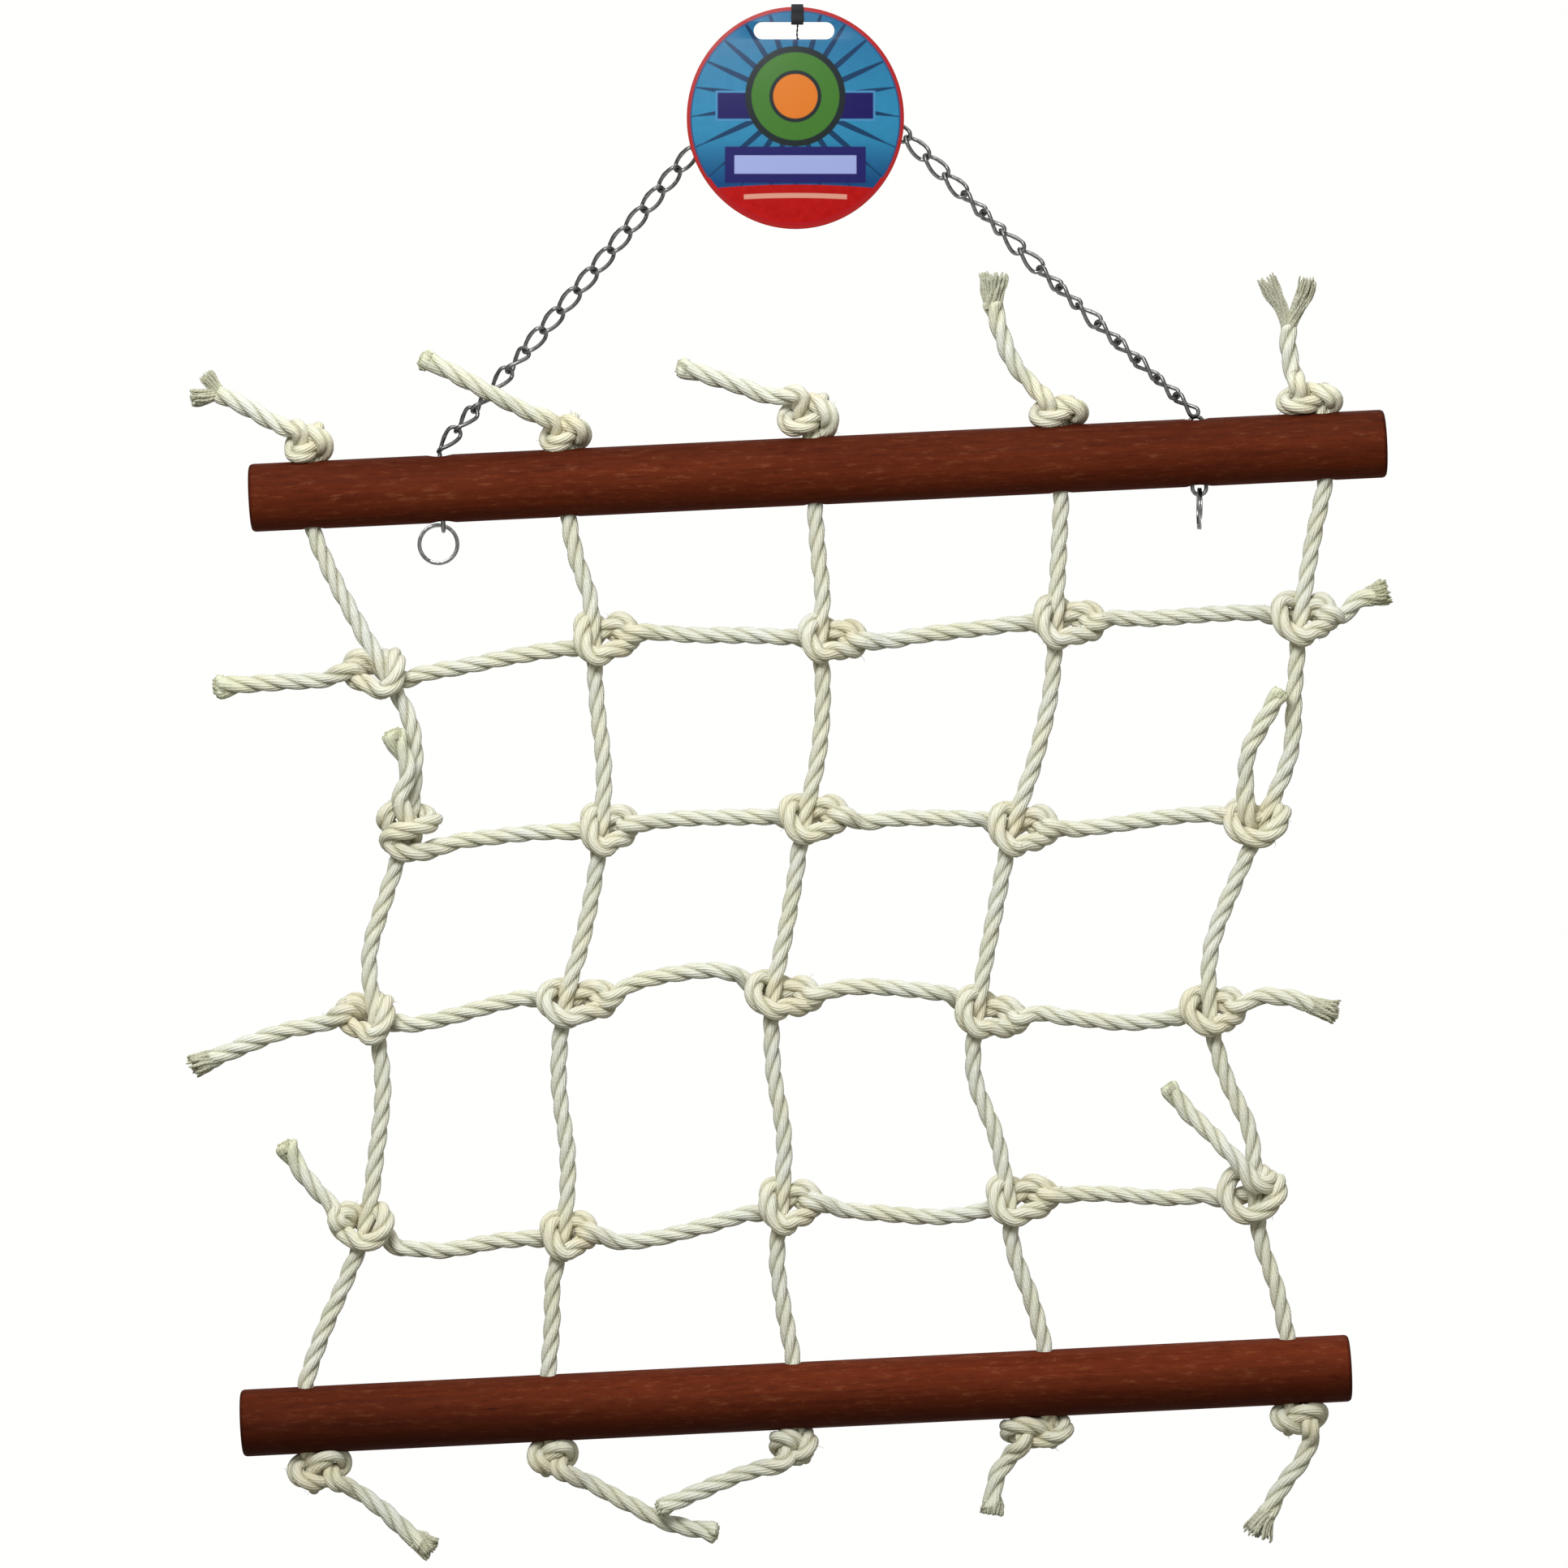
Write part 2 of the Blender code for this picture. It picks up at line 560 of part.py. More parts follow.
def stopper(name, bar, hole_x, spec, up):
    """The stretch in the bore, the stopper knot and its free tail, one body."""
    sign = 1.0 if up else -1.0
    fold = FOLD_Z[0] if up else FOLD_Z[-1]
    inner = bar_point(bar, hole_x, -sign * (BAR_D / 2))
    # from the fold line, through the bore, into the knot
    t = -sign * (BAR_D / 2)
    while sign * height_over(bar_point(bar, hole_x, t), fold) > HALF_SPLIT:
        t -= sign * 0.05
    half = spec['half']
    heart = bar_point(bar, spec['x'], sign * (BAR_D / 2 + half[2] + GAP))
    stem_pts = [bar_point(bar, hole_x, t), bar_point(bar, hole_x, t / 2), bar_point(bar, hole_x, sign * (BAR_D / 2 - 1.0)),
                bar_point(bar, hole_x, sign * (BAR_D / 2 + half[2] * 0.9))]
    body = to_mesh(tube(name, stem_pts, ROPE_R, ROPE, 1))
    tail_pts = [heart] + [Vector(p) for p in spec['tail']]
    tail = to_mesh(tube("tail", smooth_path(tail_pts, 9.0), ROPE_R, None, 1))
    knot = lump(heart, half)
    boolean(body, knot, 'UNION')
    bake(body)
    boolean(body, tail, 'UNION')
    bake(body)
    drop(knot, tail)
    keep(body, ROPE)
    smooth(body, 50)
    return body


for c in range(5):
    stopper("upright_%d_top_knot" % (c + 1), TOP_BAR, HOLES_TOP[c], TOP_STOPPERS[c], True)
    stopper("upright_%d_bottom_knot" % (c + 1), BOTTOM_BAR, HOLES_BOTTOM[c], BOTTOM_STOPPERS[c], False)


def cross_rope(r):
    """One cross rope: free end, five knots round the uprights, free end."""
    knots = [v(x, z) for x, z in KNOTS[r]]
    pts = [Vector(p) for p in reversed(CROSS_TAIL_LEFT[r])] + [knots[0]]
    for (a, b), bows in zip(zip(knots, knots[1:]), CROSS_BOW[r]):
        for f, bow in zip((1 / 3, 2 / 3), bows):
            pts.append(a.lerp(b, f) + Vector((0, 0, bow)))
        pts.append(b)
    pts += [Vector(p) for p in CROSS_TAIL_RIGHT[r]]
    body = to_mesh(tube("cross_rope_%d" % (r + 1), smooth_path(pts, 11.5), ROPE_R, ROPE, 1))
    knot_set = join([lump(k, KNOT_HALF) for k in knots])
    boolean(body, knot_set, 'UNION')
    bake(body)
    bores = []
    for c in range(5):
        near = [p for p in fine[c] if abs(p.z - knots[c].z) < 19.0]
        bores.append(to_mesh(tube("bore", even(near, 9.0), ROPE_R + 0.9, None, 1)))
    bore_set = join(bores)
    boolean(body, bore_set, 'DIFFERENCE')
    bake(body)
    drop(knot_set, bore_set)
    keep(body, ROPE)
    smooth(body, 50)
    return body


for r in range(4):
    cross_rope(r)
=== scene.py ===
"""Knotted rope cargo net for a bird cage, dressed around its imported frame."""
import bpy, bmesh, math
import numpy as np
from mathutils import Vector, Matrix, noise


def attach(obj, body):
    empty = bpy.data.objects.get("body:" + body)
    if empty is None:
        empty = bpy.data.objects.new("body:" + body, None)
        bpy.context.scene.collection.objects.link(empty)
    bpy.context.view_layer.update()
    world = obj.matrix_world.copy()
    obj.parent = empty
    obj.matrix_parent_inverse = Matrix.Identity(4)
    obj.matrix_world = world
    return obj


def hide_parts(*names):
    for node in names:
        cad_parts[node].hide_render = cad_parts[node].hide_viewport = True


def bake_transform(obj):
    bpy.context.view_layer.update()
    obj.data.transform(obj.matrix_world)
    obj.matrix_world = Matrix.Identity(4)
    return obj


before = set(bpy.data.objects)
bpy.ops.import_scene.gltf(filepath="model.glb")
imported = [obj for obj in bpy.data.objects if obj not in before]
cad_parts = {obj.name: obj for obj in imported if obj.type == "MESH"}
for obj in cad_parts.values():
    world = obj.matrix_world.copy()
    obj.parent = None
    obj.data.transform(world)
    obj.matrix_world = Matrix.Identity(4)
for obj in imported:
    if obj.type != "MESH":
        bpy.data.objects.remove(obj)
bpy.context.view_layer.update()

MM = 0.001
scene = bpy.context.scene

# ---- the same design dimensions as the frame (millimetres) ------------------
LEAN_DEG = 2.75
BAR_D = 25.4
# d, drop, tilt and short: how each dowel differs from the nominal one, as turned and
# hung; the round profile is painted shade, a colour multiplier at each height round the bar that darkens its underside
# and edges; light is painted light, a colour multiplier along the bar
TOP_BAR = dict(x=8.0, z=-158.0, length=421.0, d=25.15, drop=0.0, tilt=0.0, short=1.1,
               painted_shade=((-1.0, 0.80), (-0.67, 0.86), (-0.19, 1.07), (0.29, 0.96), (0.72, 0.74), (1.0, 0.68)), light=((-200, 1.04), (200, 0.97)))
BOTTOM_BAR = dict(x=0.5, z=-499.5, length=410.0, d=24.7, drop=0.33, tilt=0.10, short=0.0,
                  painted_shade=((-1.0, 0.44), (-0.67, 0.50), (-0.19, 0.76), (0.29, 1.06), (0.72, 1.06), (1.0, 1.0)), light=((-200, 0.74), (-140, 0.78), (-60, 1.02), (60, 1.14), (200, 1.10)))
ROPE_D = 6.3
ROPE_R = ROPE_D / 2
CHAIN_HOLES_X = (-130.5, 149.0)
LINK_WIRE = 1.5
LINK_W = 6.6
LINK_PITCH = 9.75
RUN_LINKS = 20
RING_OD, RING_WIRE = 15.5, 1.6
GAP = 0.3
TAG_W, TAG_H, TAG_T = 80.2, 82.0, 0.6
TAG_C = (0.3, -28.0)
TAG_Y = -5.0
SLOT_C, SLOT_W, SLOT_H = (-0.2, 4.2), 29.8, 6.4
TIE_X = 1.0
ROLL_Z = -144.05
FOLD_Z = (-173.6, -237.9, -308.4, -376.8, -449.0, -484.0)
HOLES_TOP = (-178.6, -84.2, 6.8, 98.0, 195.5)
HOLES_BOTTOM = (-179.9, -90.4, 0.1, 93.1, 182.6)
CROSSINGS = (
    ((-151.0, -233.0), (-143.5, -291.5), (-155.0, -360.5), (-158.5, -437.5)),
    ((-74.5, -221.0), (-71.5, -291.0), (-85.0, -355.0), (-85.5, -441.0)),
    ((9.5, -220.0), (3.5, -287.0), (-8.0, -352.0), (-5.0, -430.0)),
    ((96.5, -214.0), (80.5, -290.5), (67.5, -358.0), (79.0, -428.0)),
    ((187.0, -213.0), (173.0, -287.5), (153.5, -358.0), (170.5, -424.5)),
)
UPRIGHT_BOW = (
    ((-1.5, -1.0), (7.0, 5.5), (-3.5, -6.0), (4.0, 2.5), (0.0, -1.0)),
    ((0.0, 2.0), (0.5, 2.0), (1.5, 1.5), (-2.0, 1.5), (-2.0, -0.5)),
    ((0.5, 1.5), (3.0, 3.0), (0.5, 0.5), (-1.0, 2.0), (-3.0, -2.0)),
    ((0.0, 0.0), (3.5, 3.0), (-0.5, -0.5), (-5.0, -0.5), (-2.5, -0.5)),
    ((-0.5, -0.5), (2.5, 5.5), (-4.0, -6.0), (-0.5, 3.5), (-2.0, 0.0)),
)
KNOTS = (
    ((-155.5, -233.0), (-68.5, -221.0), (15.5, -220.0), (100.0, -214.0), (187.0, -213.0)),
    ((-142.5, -291.5), (-68.0, -291.0), (7.0, -287.0), (83.5, -290.5), (167.5, -287.5)),
    ((-158.5, -360.5), (-79.5, -355.0), (-4.0, -352.0), (71.0, -358.0), (153.5, -358.0)),
    ((-158.0, -437.5), (-83.0, -441.0), (-1.0, -430.0), (86.0, -428.0), (168.5, -424.5)),
)
CROSS_BOW = (
    ((-2.0, -0.5), (2.0, 1.5), (-1.0, 0.0), (1.0, 2.5)),
    ((-2.5, -0.5), (3.0, 2.5), (1.5, 3.0), (0.0, 2.5)),
    ((-2.0, 2.5), (8.5, 10.5), (5.5, 6.0), (-2.0, -4.0)),
    ((-7.5, -3.0), (-5.0, -2.5), (-3.0, -5.0), (1.5, -1.0)),
)
CROSS_TAIL_LEFT = (
    ((-173.5, 0.0, -235.0), (-188.5, 0.0, -236.0), (-203.5, 0.0, -237.0), (-214.0, 0.0, -238.0)),
    ((-145.5, -6.6, -280.0), (-142.5, -7.2, -269.0), (-148.5, -7.2, -254.5)),
    ((-173.5, 0.0, -362.0), (-188.5, 0.0, -365.0), (-203.5, 0.0, -370.5), (-220.5, 0.0, -377.5)),
    ((-170.0, 0.0, -431.0), (-175.5, 0.0, -425.0), (-182.0, 0.0, -417.5), (-188.5, 0.0, -406.5)),
)
CROSS_TAIL_RIGHT = (
    ((201.5, 0.0, -212.0), (209.0, 0.0, -205.5), (217.0, 0.0, -203.0)),
    ((166.5, -4.0, -276.5), (167.0, -6.5, -263.0), (172.0, -7.4, -252.5), (179.5, -7.4, -239.0)),
    ((171.5, 0.0, -352.5), (183.5, 0.0, -353.0), (198.5, 0.0, -358.0)),
    ((164.0, -7.2, -413.5), (160.0, -7.0, -409.5), (153.5, -4.0, -402.5), (145.5, -1.0, -395.0), (137.5, 0.0, -385.0)),
)
TOP_STOPPERS = (
    dict(x=-178.8, half=(9.6, 8.6, 7.0), tail=((-189.5, 0.0, -141.5), (-203.5, 0.0, -134.0), (-222.5, 0.0, -125.0))),
    dict(x=-84.4, half=(9.8, 8.6, 6.6), tail=((-98.5, -6.0, -136.5), (-113.5, -9.6, -129.0), (-128.5, -10.0, -121.0), (-137.5, -10.0, -117.0))),
    dict(x=6.4, half=(11.0, 9.0, 8.6), tail=((-8.5, 0.0, -130.5), (-23.5, 0.0, -125.5), (-43.0, 0.0, -119.5))),
    dict(x=98.3, half=(10.6, 8.8, 6.8), tail=((89.0, 0.0, -127.5), (81.5, 0.0, -119.0), (77.0, 0.0, -109.0), (73.5, 0.0, -96.5), (73.0, 0.0, -88.5))),
    dict(x=191.5, half=(11.6, 9.0, 6.8), tail=((184.5, 0.0, -122.5), (182.5, 0.0, -112.5), (182.5, 0.0, -104.0), (182.5, 0.0, -88.0))),
)
BOTTOM_STOPPERS = (
    dict(x=-173.5, half=(9.8, 8.6, 7.2), tail=((-163.0, 0.0, -534.5), (-151.0, 0.0, -543.0), (-143.5, 0.0, -550.0), (-134.5, 0.0, -556.5))),
    dict(x=-90.4, half=(9.4, 8.6, 7.2), tail=((-76.0, 0.0, -532.0), (-61.0, 0.0, -540.0), (-46.0, 0.0, -547.0), (-28.5, 0.0, -550.5))),
    dict(x=-1.4, half=(9.8, 8.6, 7.4), tail=((-16.0, -2.0, -527.5), (-31.0, -5.0, -533.0), (-50.0, -7.4, -541.0))),
    dict(x=88.5, half=(10.2, 8.6, 7.0), tail=((80.0, 0.0, -522.0), (74.5, 0.0, -530.5), (73.0, 0.0, -542.5))),
    dict(x=185.8, half=(10.4, 8.6, 6.6), tail=((190.5, 0.0, -516.5), (188.0, 0.0, -523.0), (180.5, 0.0, -533.0), (171.5, 0.0, -549.0))),
)
CHAIN_LEFT = ((-4.65, -2.6), (-38.5, -41.0), (-77.0, -87.5))
CHAIN_RIGHT = ((4.65, -2.6), (41.5, -35.0), (95.0, -87.5))
SLOPE = math.tan(math.radians(LEAN_DEG))
ALONG = Vector((math.cos(math.radians(LEAN_DEG)), 0.0, math.sin(math.radians(LEAN_DEG))))
UPWARD = Vector((-math.sin(math.radians(LEAN_DEG)), 0.0, math.cos(math.radians(LEAN_DEG))))


def v(x, z, y=0.0):
    return Vector((x, y, z))


def bar_point(bar, x, t=0.0, y=0.0):
    base = v(x, bar['z'] + (x - bar['x']) * SLOPE, y)
    return base + UPWARD * t


# ---- camera, light and stage -------------------------------------------------
PX = 0.3                       # millimetres to each of the frame's 1932 pixels
centre_x, centre_z = (966 - 979) * PX, (53.5 - 966) * PX
DIST = 2.8
cam_data = bpy.data.cameras.new("camera")
cam = bpy.data.objects.new("camera", cam_data)
scene.collection.objects.link(cam)
cam.location = (centre_x * MM, -DIST, centre_z * MM)
cam.rotation_euler = (math.radians(90), 0, 0)
cam_data.sensor_width = 36.0
cam_data.lens = 36.0 * DIST / (1932 * PX * MM)
cam_data.clip_start, cam_data.clip_end = 0.05, 60.0
scene.camera = cam
scene.view_settings.view_transform = 'Standard'
scene.view_settings.look = 'None'
scene.view_settings.exposure = 0.0
scene.view_settings.gamma = 1.0

LIT_ABOVE, LIT_BELOW = 0.29, 0.19   # strength of the soft light from above and from below
world = bpy.data.worlds.new("studio")
scene.world = world
world.use_nodes = True
wn, wl = world.node_tree.nodes, world.node_tree.links
wn.clear()
w_out = wn.new('ShaderNodeOutputWorld')
w_mix = wn.new('ShaderNodeMixShader')
w_path = wn.new('ShaderNodeLightPath')
w_seen = wn.new('ShaderNodeBackground')
w_lit = wn.new('ShaderNodeBackground')
w_seen.inputs['Color'].default_value = (1.0, 1.0, 0.985, 1)
w_seen.inputs['Strength'].default_value = 1.0
w_lit.inputs['Color'].default_value = (1.0, 1.0, 0.86, 1)
w_coord = wn.new('ShaderNodeTexCoord')
w_split = wn.new('ShaderNodeSeparateXYZ')
w_half = wn.new('ShaderNodeMapRange')
w_half.inputs['From Min'].default_value, w_half.inputs['From Max'].default_value = -0.12, 0.02
w_half.inputs['To Min'].default_value, w_half.inputs['To Max'].default_value = LIT_BELOW, LIT_ABOVE
wl.new(w_coord.outputs['Generated'], w_split.inputs[0])
wl.new(w_split.outputs['Z'], w_half.inputs['Value'])
wl.new(w_half.outputs[0], w_lit.inputs['Strength'])
wl.new(w_path.outputs['Is Camera Ray'], w_mix.inputs['Fac'])
wl.new(w_lit.outputs[0], w_mix.inputs[1])
wl.new(w_seen.outputs[0], w_mix.inputs[2])
wl.new(w_mix.outputs[0], w_out.inputs['Surface'])


def area(name, where, size, power, aim=(0, 0, -0.27), colour=(1, 1, 1)):
    data = bpy.data.lights.new(name, 'AREA')
    data.shape = 'RECTANGLE'
    data.size, data.size_y = size
    data.energy = power
    data.color = colour
    obj = bpy.data.objects.new(name, data)
    scene.collection.objects.link(obj)
    obj.location = where
    d = Vector(aim) - Vector(where)
    obj.rotation_euler = d.to_track_quat('-Z', 'Y').to_euler()
    return obj


area("key_light", (-0.45, -1.55, 0.74), (0.9, 0.7), 35.0, colour=(0.96, 0.985, 1.0))
area("top_light", (0.10, -0.25, 1.50), (1.5, 0.9), 12.5, colour=(0.96, 0.985, 1.0))
area("fill_light", (1.2, -1.7, 0.10), (1.0, 1.0), 4.0)
area("back_light", (0.3, 1.6, 0.9), (1.4, 1.0), 8.0)


# ---- node helpers --------------------------------------------------------------
class Nodes:
    """Small helper for building a material's node tree."""
    def __init__(self, name):
        self.mat = bpy.data.materials.new(name)
        self.mat.use_nodes = True
        self.t = self.mat.node_tree
        self.shader = self.t.nodes["Principled BSDF"]

    def n(self, kind, **inputs):
        node = self.t.nodes.new(kind)
        for k, val in inputs.items():
            if hasattr(node, k):
                setattr(node, k, val)
        return node

    def link(self, a, b):
        self.t.links.new(a, b)

    def math(self, op, a, b=None, clamp=False):
        node = self.t.nodes.new('ShaderNodeMath')
        node.operation = op
        node.use_clamp = clamp
        for i, val in enumerate((a, b)):
            if val is None:
                continue                       # one-input operations
            if hasattr(val, 'is_linked') or hasattr(val, 'links'):
                self.link(val, node.inputs[i])
            else:
                node.inputs[i].default_value = val
        return node.outputs[0]

    def mix(self, fac, a, b, blend='MIX'):
        node = self.t.nodes.new('ShaderNodeMix')
        node.data_type = 'RGBA'
        node.blend_type = blend
        for sock, val in ((node.inputs[0], fac), (node.inputs[6], a), (node.inputs[7], b)):
            if hasattr(val, 'links'):
                self.link(val, sock)
            elif isinstance(val, (int, float)):
                sock.default_value = val
            else:
                sock.default_value = (*val, 1.0)
        return node.outputs[2]

    def noise(self, vector, scale, detail=2.0, rough=0.5):
        node = self.t.nodes.new('ShaderNodeTexNoise')
        node.inputs['Scale'].default_value = scale
        node.inputs['Detail'].default_value = detail
        node.inputs['Roughness'].default_value = rough
        if vector is not None:
            self.link(vector, node.inputs['Vector'])
        return node.outputs['Fac']

    def ramp(self, fac, stops):
        node = self.t.nodes.new('ShaderNodeValToRGB')
        els = node.color_ramp.elements
        while len(els) < len(stops):
            els.new(0.5)
        for e, (pos, col) in zip(els, stops):
            e.position = pos
            e.color = (*col, 1.0) if len(col) == 3 else col
        self.link(fac, node.inputs[0])
        return node.outputs['Color']

    def span(self, val, a, b, lo=0.0, hi=1.0):
        node = self.t.nodes.new('ShaderNodeMapRange')
        node.inputs['From Min'].default_value = a
        node.inputs['From Max'].default_value = b
        node.inputs['To Min'].default_value = lo
        node.inputs['To Max'].default_value = hi
        self.link(val, node.inputs['Value'])
        return node.outputs[0]

    def combine(self, x, y, z=0.0):
        node = self.t.nodes.new('ShaderNodeCombineXYZ')
        for sock, val in zip(node.inputs, (x, y, z)):
            if hasattr(val, 'links'):
                self.link(val, sock)
            else:
                sock.default_value = val
        return node.outputs[0]

    def attribute(self, name):
        node = self.t.nodes.new('ShaderNodeAttribute')
        node.attribute_name = name
        return node.outputs['Fac']

    def bump(self, height, strength, distance, normal=None):
        node = self.t.nodes.new('ShaderNodeBump')
        node.inputs['Strength'].default_value = strength
        node.inputs['Distance'].default_value = distance
        self.link(height, node.inputs['Height'])
        if normal is not None:
            self.link(normal, node.inputs['Normal'])
        return node.outputs[0]

    def set(self, **values):
        for k, val in values.items():
            sock = self.shader.inputs[k.replace('_', ' ')]
            if hasattr(val, 'links'):
                self.link(val, sock)
            else:
                sock.default_value = val


# ---- materials -------------------------------------------------------------------
LAY = 27.0                     # one turn of the rope's three strands, in mm


def rope_material(name, gain=(1.0, 1.0, 1.0)):
    m = Nodes(name)
    uv = m.n('ShaderNodeUVMap')
    uv.uv_map = "lay"
    sep = m.n('ShaderNodeSeparateXYZ')
    m.link(uv.outputs[0], sep.inputs[0])
    u, s = sep.outputs[0], sep.outputs[1]          # u: round the rope with the strands; s: millimetres / 100
    s_mm = m.math('MULTIPLY', s, 100.0)
    axis_u = m.math('ADD', u, m.math('MULTIPLY', s_mm, 0.82 / LAY))
    fibre = m.combine(m.math('MULTIPLY', axis_u, 46.0), m.math('MULTIPLY', s_mm, 0.20), 0.0)
    fine = m.noise(fibre, 1.0, 3.0, 0.6)
    yarn_wave = m.math('SINE', m.math('MULTIPLY', axis_u, 2 * math.pi * 20))
    obj = m.n('ShaderNodeTexCoord').outputs['Object']
    broad = m.noise(obj, 42.0, 3.0, 0.55)
    patch = m.noise(obj, 160.0, 2.0, 0.6)
    third = m.math('FRACT', m.math('MULTIPLY', u, 3.0))
    off = m.math('ABSOLUTE', m.math('SUBTRACT', third, 0.5))        # 0 crown, 0.5 groove
    groove_shade = m.span(off, 0.30, 0.50)
    knot = m.attribute("knot")
    tip = m.attribute("tip")
    g = gain
    cream = (0.765 * g[0], 0.745 * g[1], 0.590 * g[2])
    pale = (0.780 * g[0], 0.785 * g[1], 0.715 * g[2])
    grey = (0.60 * g[0], 0.625 * g[1], 0.48 * g[2])
    colour = m.mix(m.span(broad, 0.38, 0.66), cream, pale)
    colour = m.mix(m.math('MULTIPLY', m.span(patch, 0.50, 0.75), 0.55), colour, grey)
    colour = m.mix(m.math('MULTIPLY', m.span(fine, 0.45, 0.80), 0.35), colour, (0.52, 0.50, 0.34))
    tan = m.noise(obj, 120.0, 2.0, 0.5)
    colour = m.mix(m.math('MULTIPLY', knot, m.span(tan, 0.35, 0.70, 0.12, 0.60)), colour, (0.72, 0.62, 0.39))
    colour = m.mix(m.math('MULTIPLY', tip, 0.55), colour, (0.66, 0.68, 0.42))
    # painted shade: the grooves between the strands are darkened
    colour = m.mix(m.math('MULTIPLY', groove_shade, 0.60), colour, (0.30, 0.28, 0.14))
    height = m.math('ADD', m.math('MULTIPLY', fine, 1.0), m.math('MULTIPLY', yarn_wave, 0.30))
    height = m.math('ADD', height, m.math('MULTIPLY', m.noise(obj, 900.0, 3.0, 0.65), 0.8))
    normal = m.bump(height, 0.75, 0.00042)
    m.set(Base_Color=colour, Normal=normal, Roughness=0.92)
    m.shader.inputs['Specular IOR Level'].default_value = 0.12
    m.shader.inputs['Sheen Weight'].default_value = 0.10
    m.shader.inputs['Sheen Roughness'].default_value = 0.6
    return m.mat


def wood_material(name):
    m = Nodes(name)
    obj = m.n('ShaderNodeTexCoord').outputs['Object']
    turn = m.n('ShaderNodeMapping')
    turn.inputs['Rotation'].default_value = (0, math.radians(LEAN_DEG), 0)
    m.link(obj, turn.inputs['Vector'])
    sep = m.n('ShaderNodeSeparateXYZ')
    m.link(turn.outputs[0], sep.inputs[0])
    x, y, z = sep.outputs
    long_way = m.combine(m.math('MULTIPLY', x, 7.0), m.math('MULTIPLY', y, 420.0), m.math('MULTIPLY', z, 420.0))
    streak = m.noise(long_way, 1.0, 4.0, 0.65)
    pores = m.noise(m.combine(m.math('MULTIPLY', x, 70.0), m.math('MULTIPLY', y, 1500.0), m.math('MULTIPLY', z, 1500.0)), 1.0, 2.0, 0.6)
    cloud = m.noise(m.combine(m.math('MULTIPLY', x, 22.0), m.math('MULTIPLY', y, 60.0), m.math('MULTIPLY', z, 60.0)), 1.0, 3.0, 0.5)
    fleck = m.noise(m.combine(m.math('MULTIPLY', x, 150.0), m.math('MULTIPLY', y, 620.0), m.math('MULTIPLY', z, 620.0)), 1.0, 4.0, 0.7)
    colour = m.ramp(streak, [(0.22, (0.060, 0.0112, 0.0036)), (0.45, (0.088, 0.0168, 0.0054)), (0.62, (0.108, 0.0215, 0.0071)), (0.82, (0.136, 0.030, 0.0100))])
    colour = m.mix(m.math('MULTIPLY', m.span(cloud, 0.36, 0.70), 0.40), colour, (0.128, 0.029, 0.010))
    colour = m.mix(m.math('MULTIPLY', m.span(fleck, 0.55, 0.74), 0.62), colour, (0.200, 0.078, 0.036))
    colour = m.mix(m.math('MULTIPLY', m.span(fleck, 0.46, 0.28), 0.55), colour, (0.040, 0.0075, 0.0026))
    colour = m.mix(m.math('MULTIPLY', m.span(pores, 0.60, 0.78), 0.6), colour, (0.028, 0.0060, 0.0025))
    # painted shade and painted light: the wood colour is darkened round the bar and varied along it, with the stain
    # deeper at its ends
    painted_light_and_stain = m.attribute("painted_light_and_stain")
    colour = m.mix(1.0, colour, m.combine(painted_light_and_stain, m.math('MULTIPLY', painted_light_and_stain, 0.82), m.math('MULTIPLY', painted_light_and_stain, 0.74)), 'MULTIPLY')
    end = m.attribute("end_grain")
    rings = m.n('ShaderNodeTexWave')
    rings.wave_type = 'RINGS'
    rings.rings_direction = 'X'
    rings.inputs['Scale'].default_value = 150.0
    rings.inputs['Distortion'].default_value = 3.0
    rings.inputs['Detail'].default_value = 3.0
    shift = m.n('ShaderNodeVectorMath')
    shift.operation = 'ADD'
    shift.inputs[1].default_value = (0.0, 0.004, 0.011)
    m.link(turn.outputs[0], shift.inputs[0])
    m.link(shift.outputs[0], rings.inputs['Vector'])
    ring_colour = m.ramp(rings.outputs['Fac'], [(0.0, (0.050, 0.012, 0.008)), (0.6, (0.115, 0.028, 0.018)), (1.0, (0.16, 0.045, 0.030))])
    colour = m.mix(end, colour, ring_colour)
    height = m.math('ADD', m.math('MULTIPLY', streak, 0.6), m.math('MULTIPLY', pores, -0.8))
    normal = m.bump(height, 0.24, 0.00025)
    rough = m.span(streak, 0.3, 0.7, 0.66, 0.84)
    m.set(Base_Color=colour, Normal=normal, Roughness=rough)
    m.shader.inputs['Specular IOR Level'].default_value = 0.05
    return m.mat


def steel_material(name, base=0.20, rough=(0.26, 0.48)):
    m = Nodes(name)
    obj = m.n('ShaderNodeTexCoord').outputs['Object']
    smear = m.noise(obj, 900.0, 3.0, 0.6)
    grime = m.noise(obj, 2600.0, 2.0, 0.5)
    colour = m.mix(m.span(smear, 0.35, 0.7), (base * 0.72, base * 0.72, base * 0.74), (base * 1.45, base * 1.42, base * 1.38))
    m.set(Base_Color=colour, Metallic=1.0, Roughness=m.span(grime, 0.3, 0.75, *rough), Normal=m.bump(grime, 0.12, 0.0001))
    return m.mat


def tie_material():
    m = Nodes("black_tie_look")
    obj = m.n('ShaderNodeTexCoord').outputs['Object']
    n1 = m.noise(obj, 1500.0, 2.0, 0.5)
    colour = m.mix(n1, (0.010, 0.010, 0.012), (0.030, 0.030, 0.034))
    m.set(Base_Color=colour, Roughness=m.span(n1, 0.3, 0.7, 0.55, 0.72), Normal=m.bump(n1, 0.25, 0.0001))
    m.shader.inputs['Specular IOR Level'].default_value = 0.12
    return m.mat


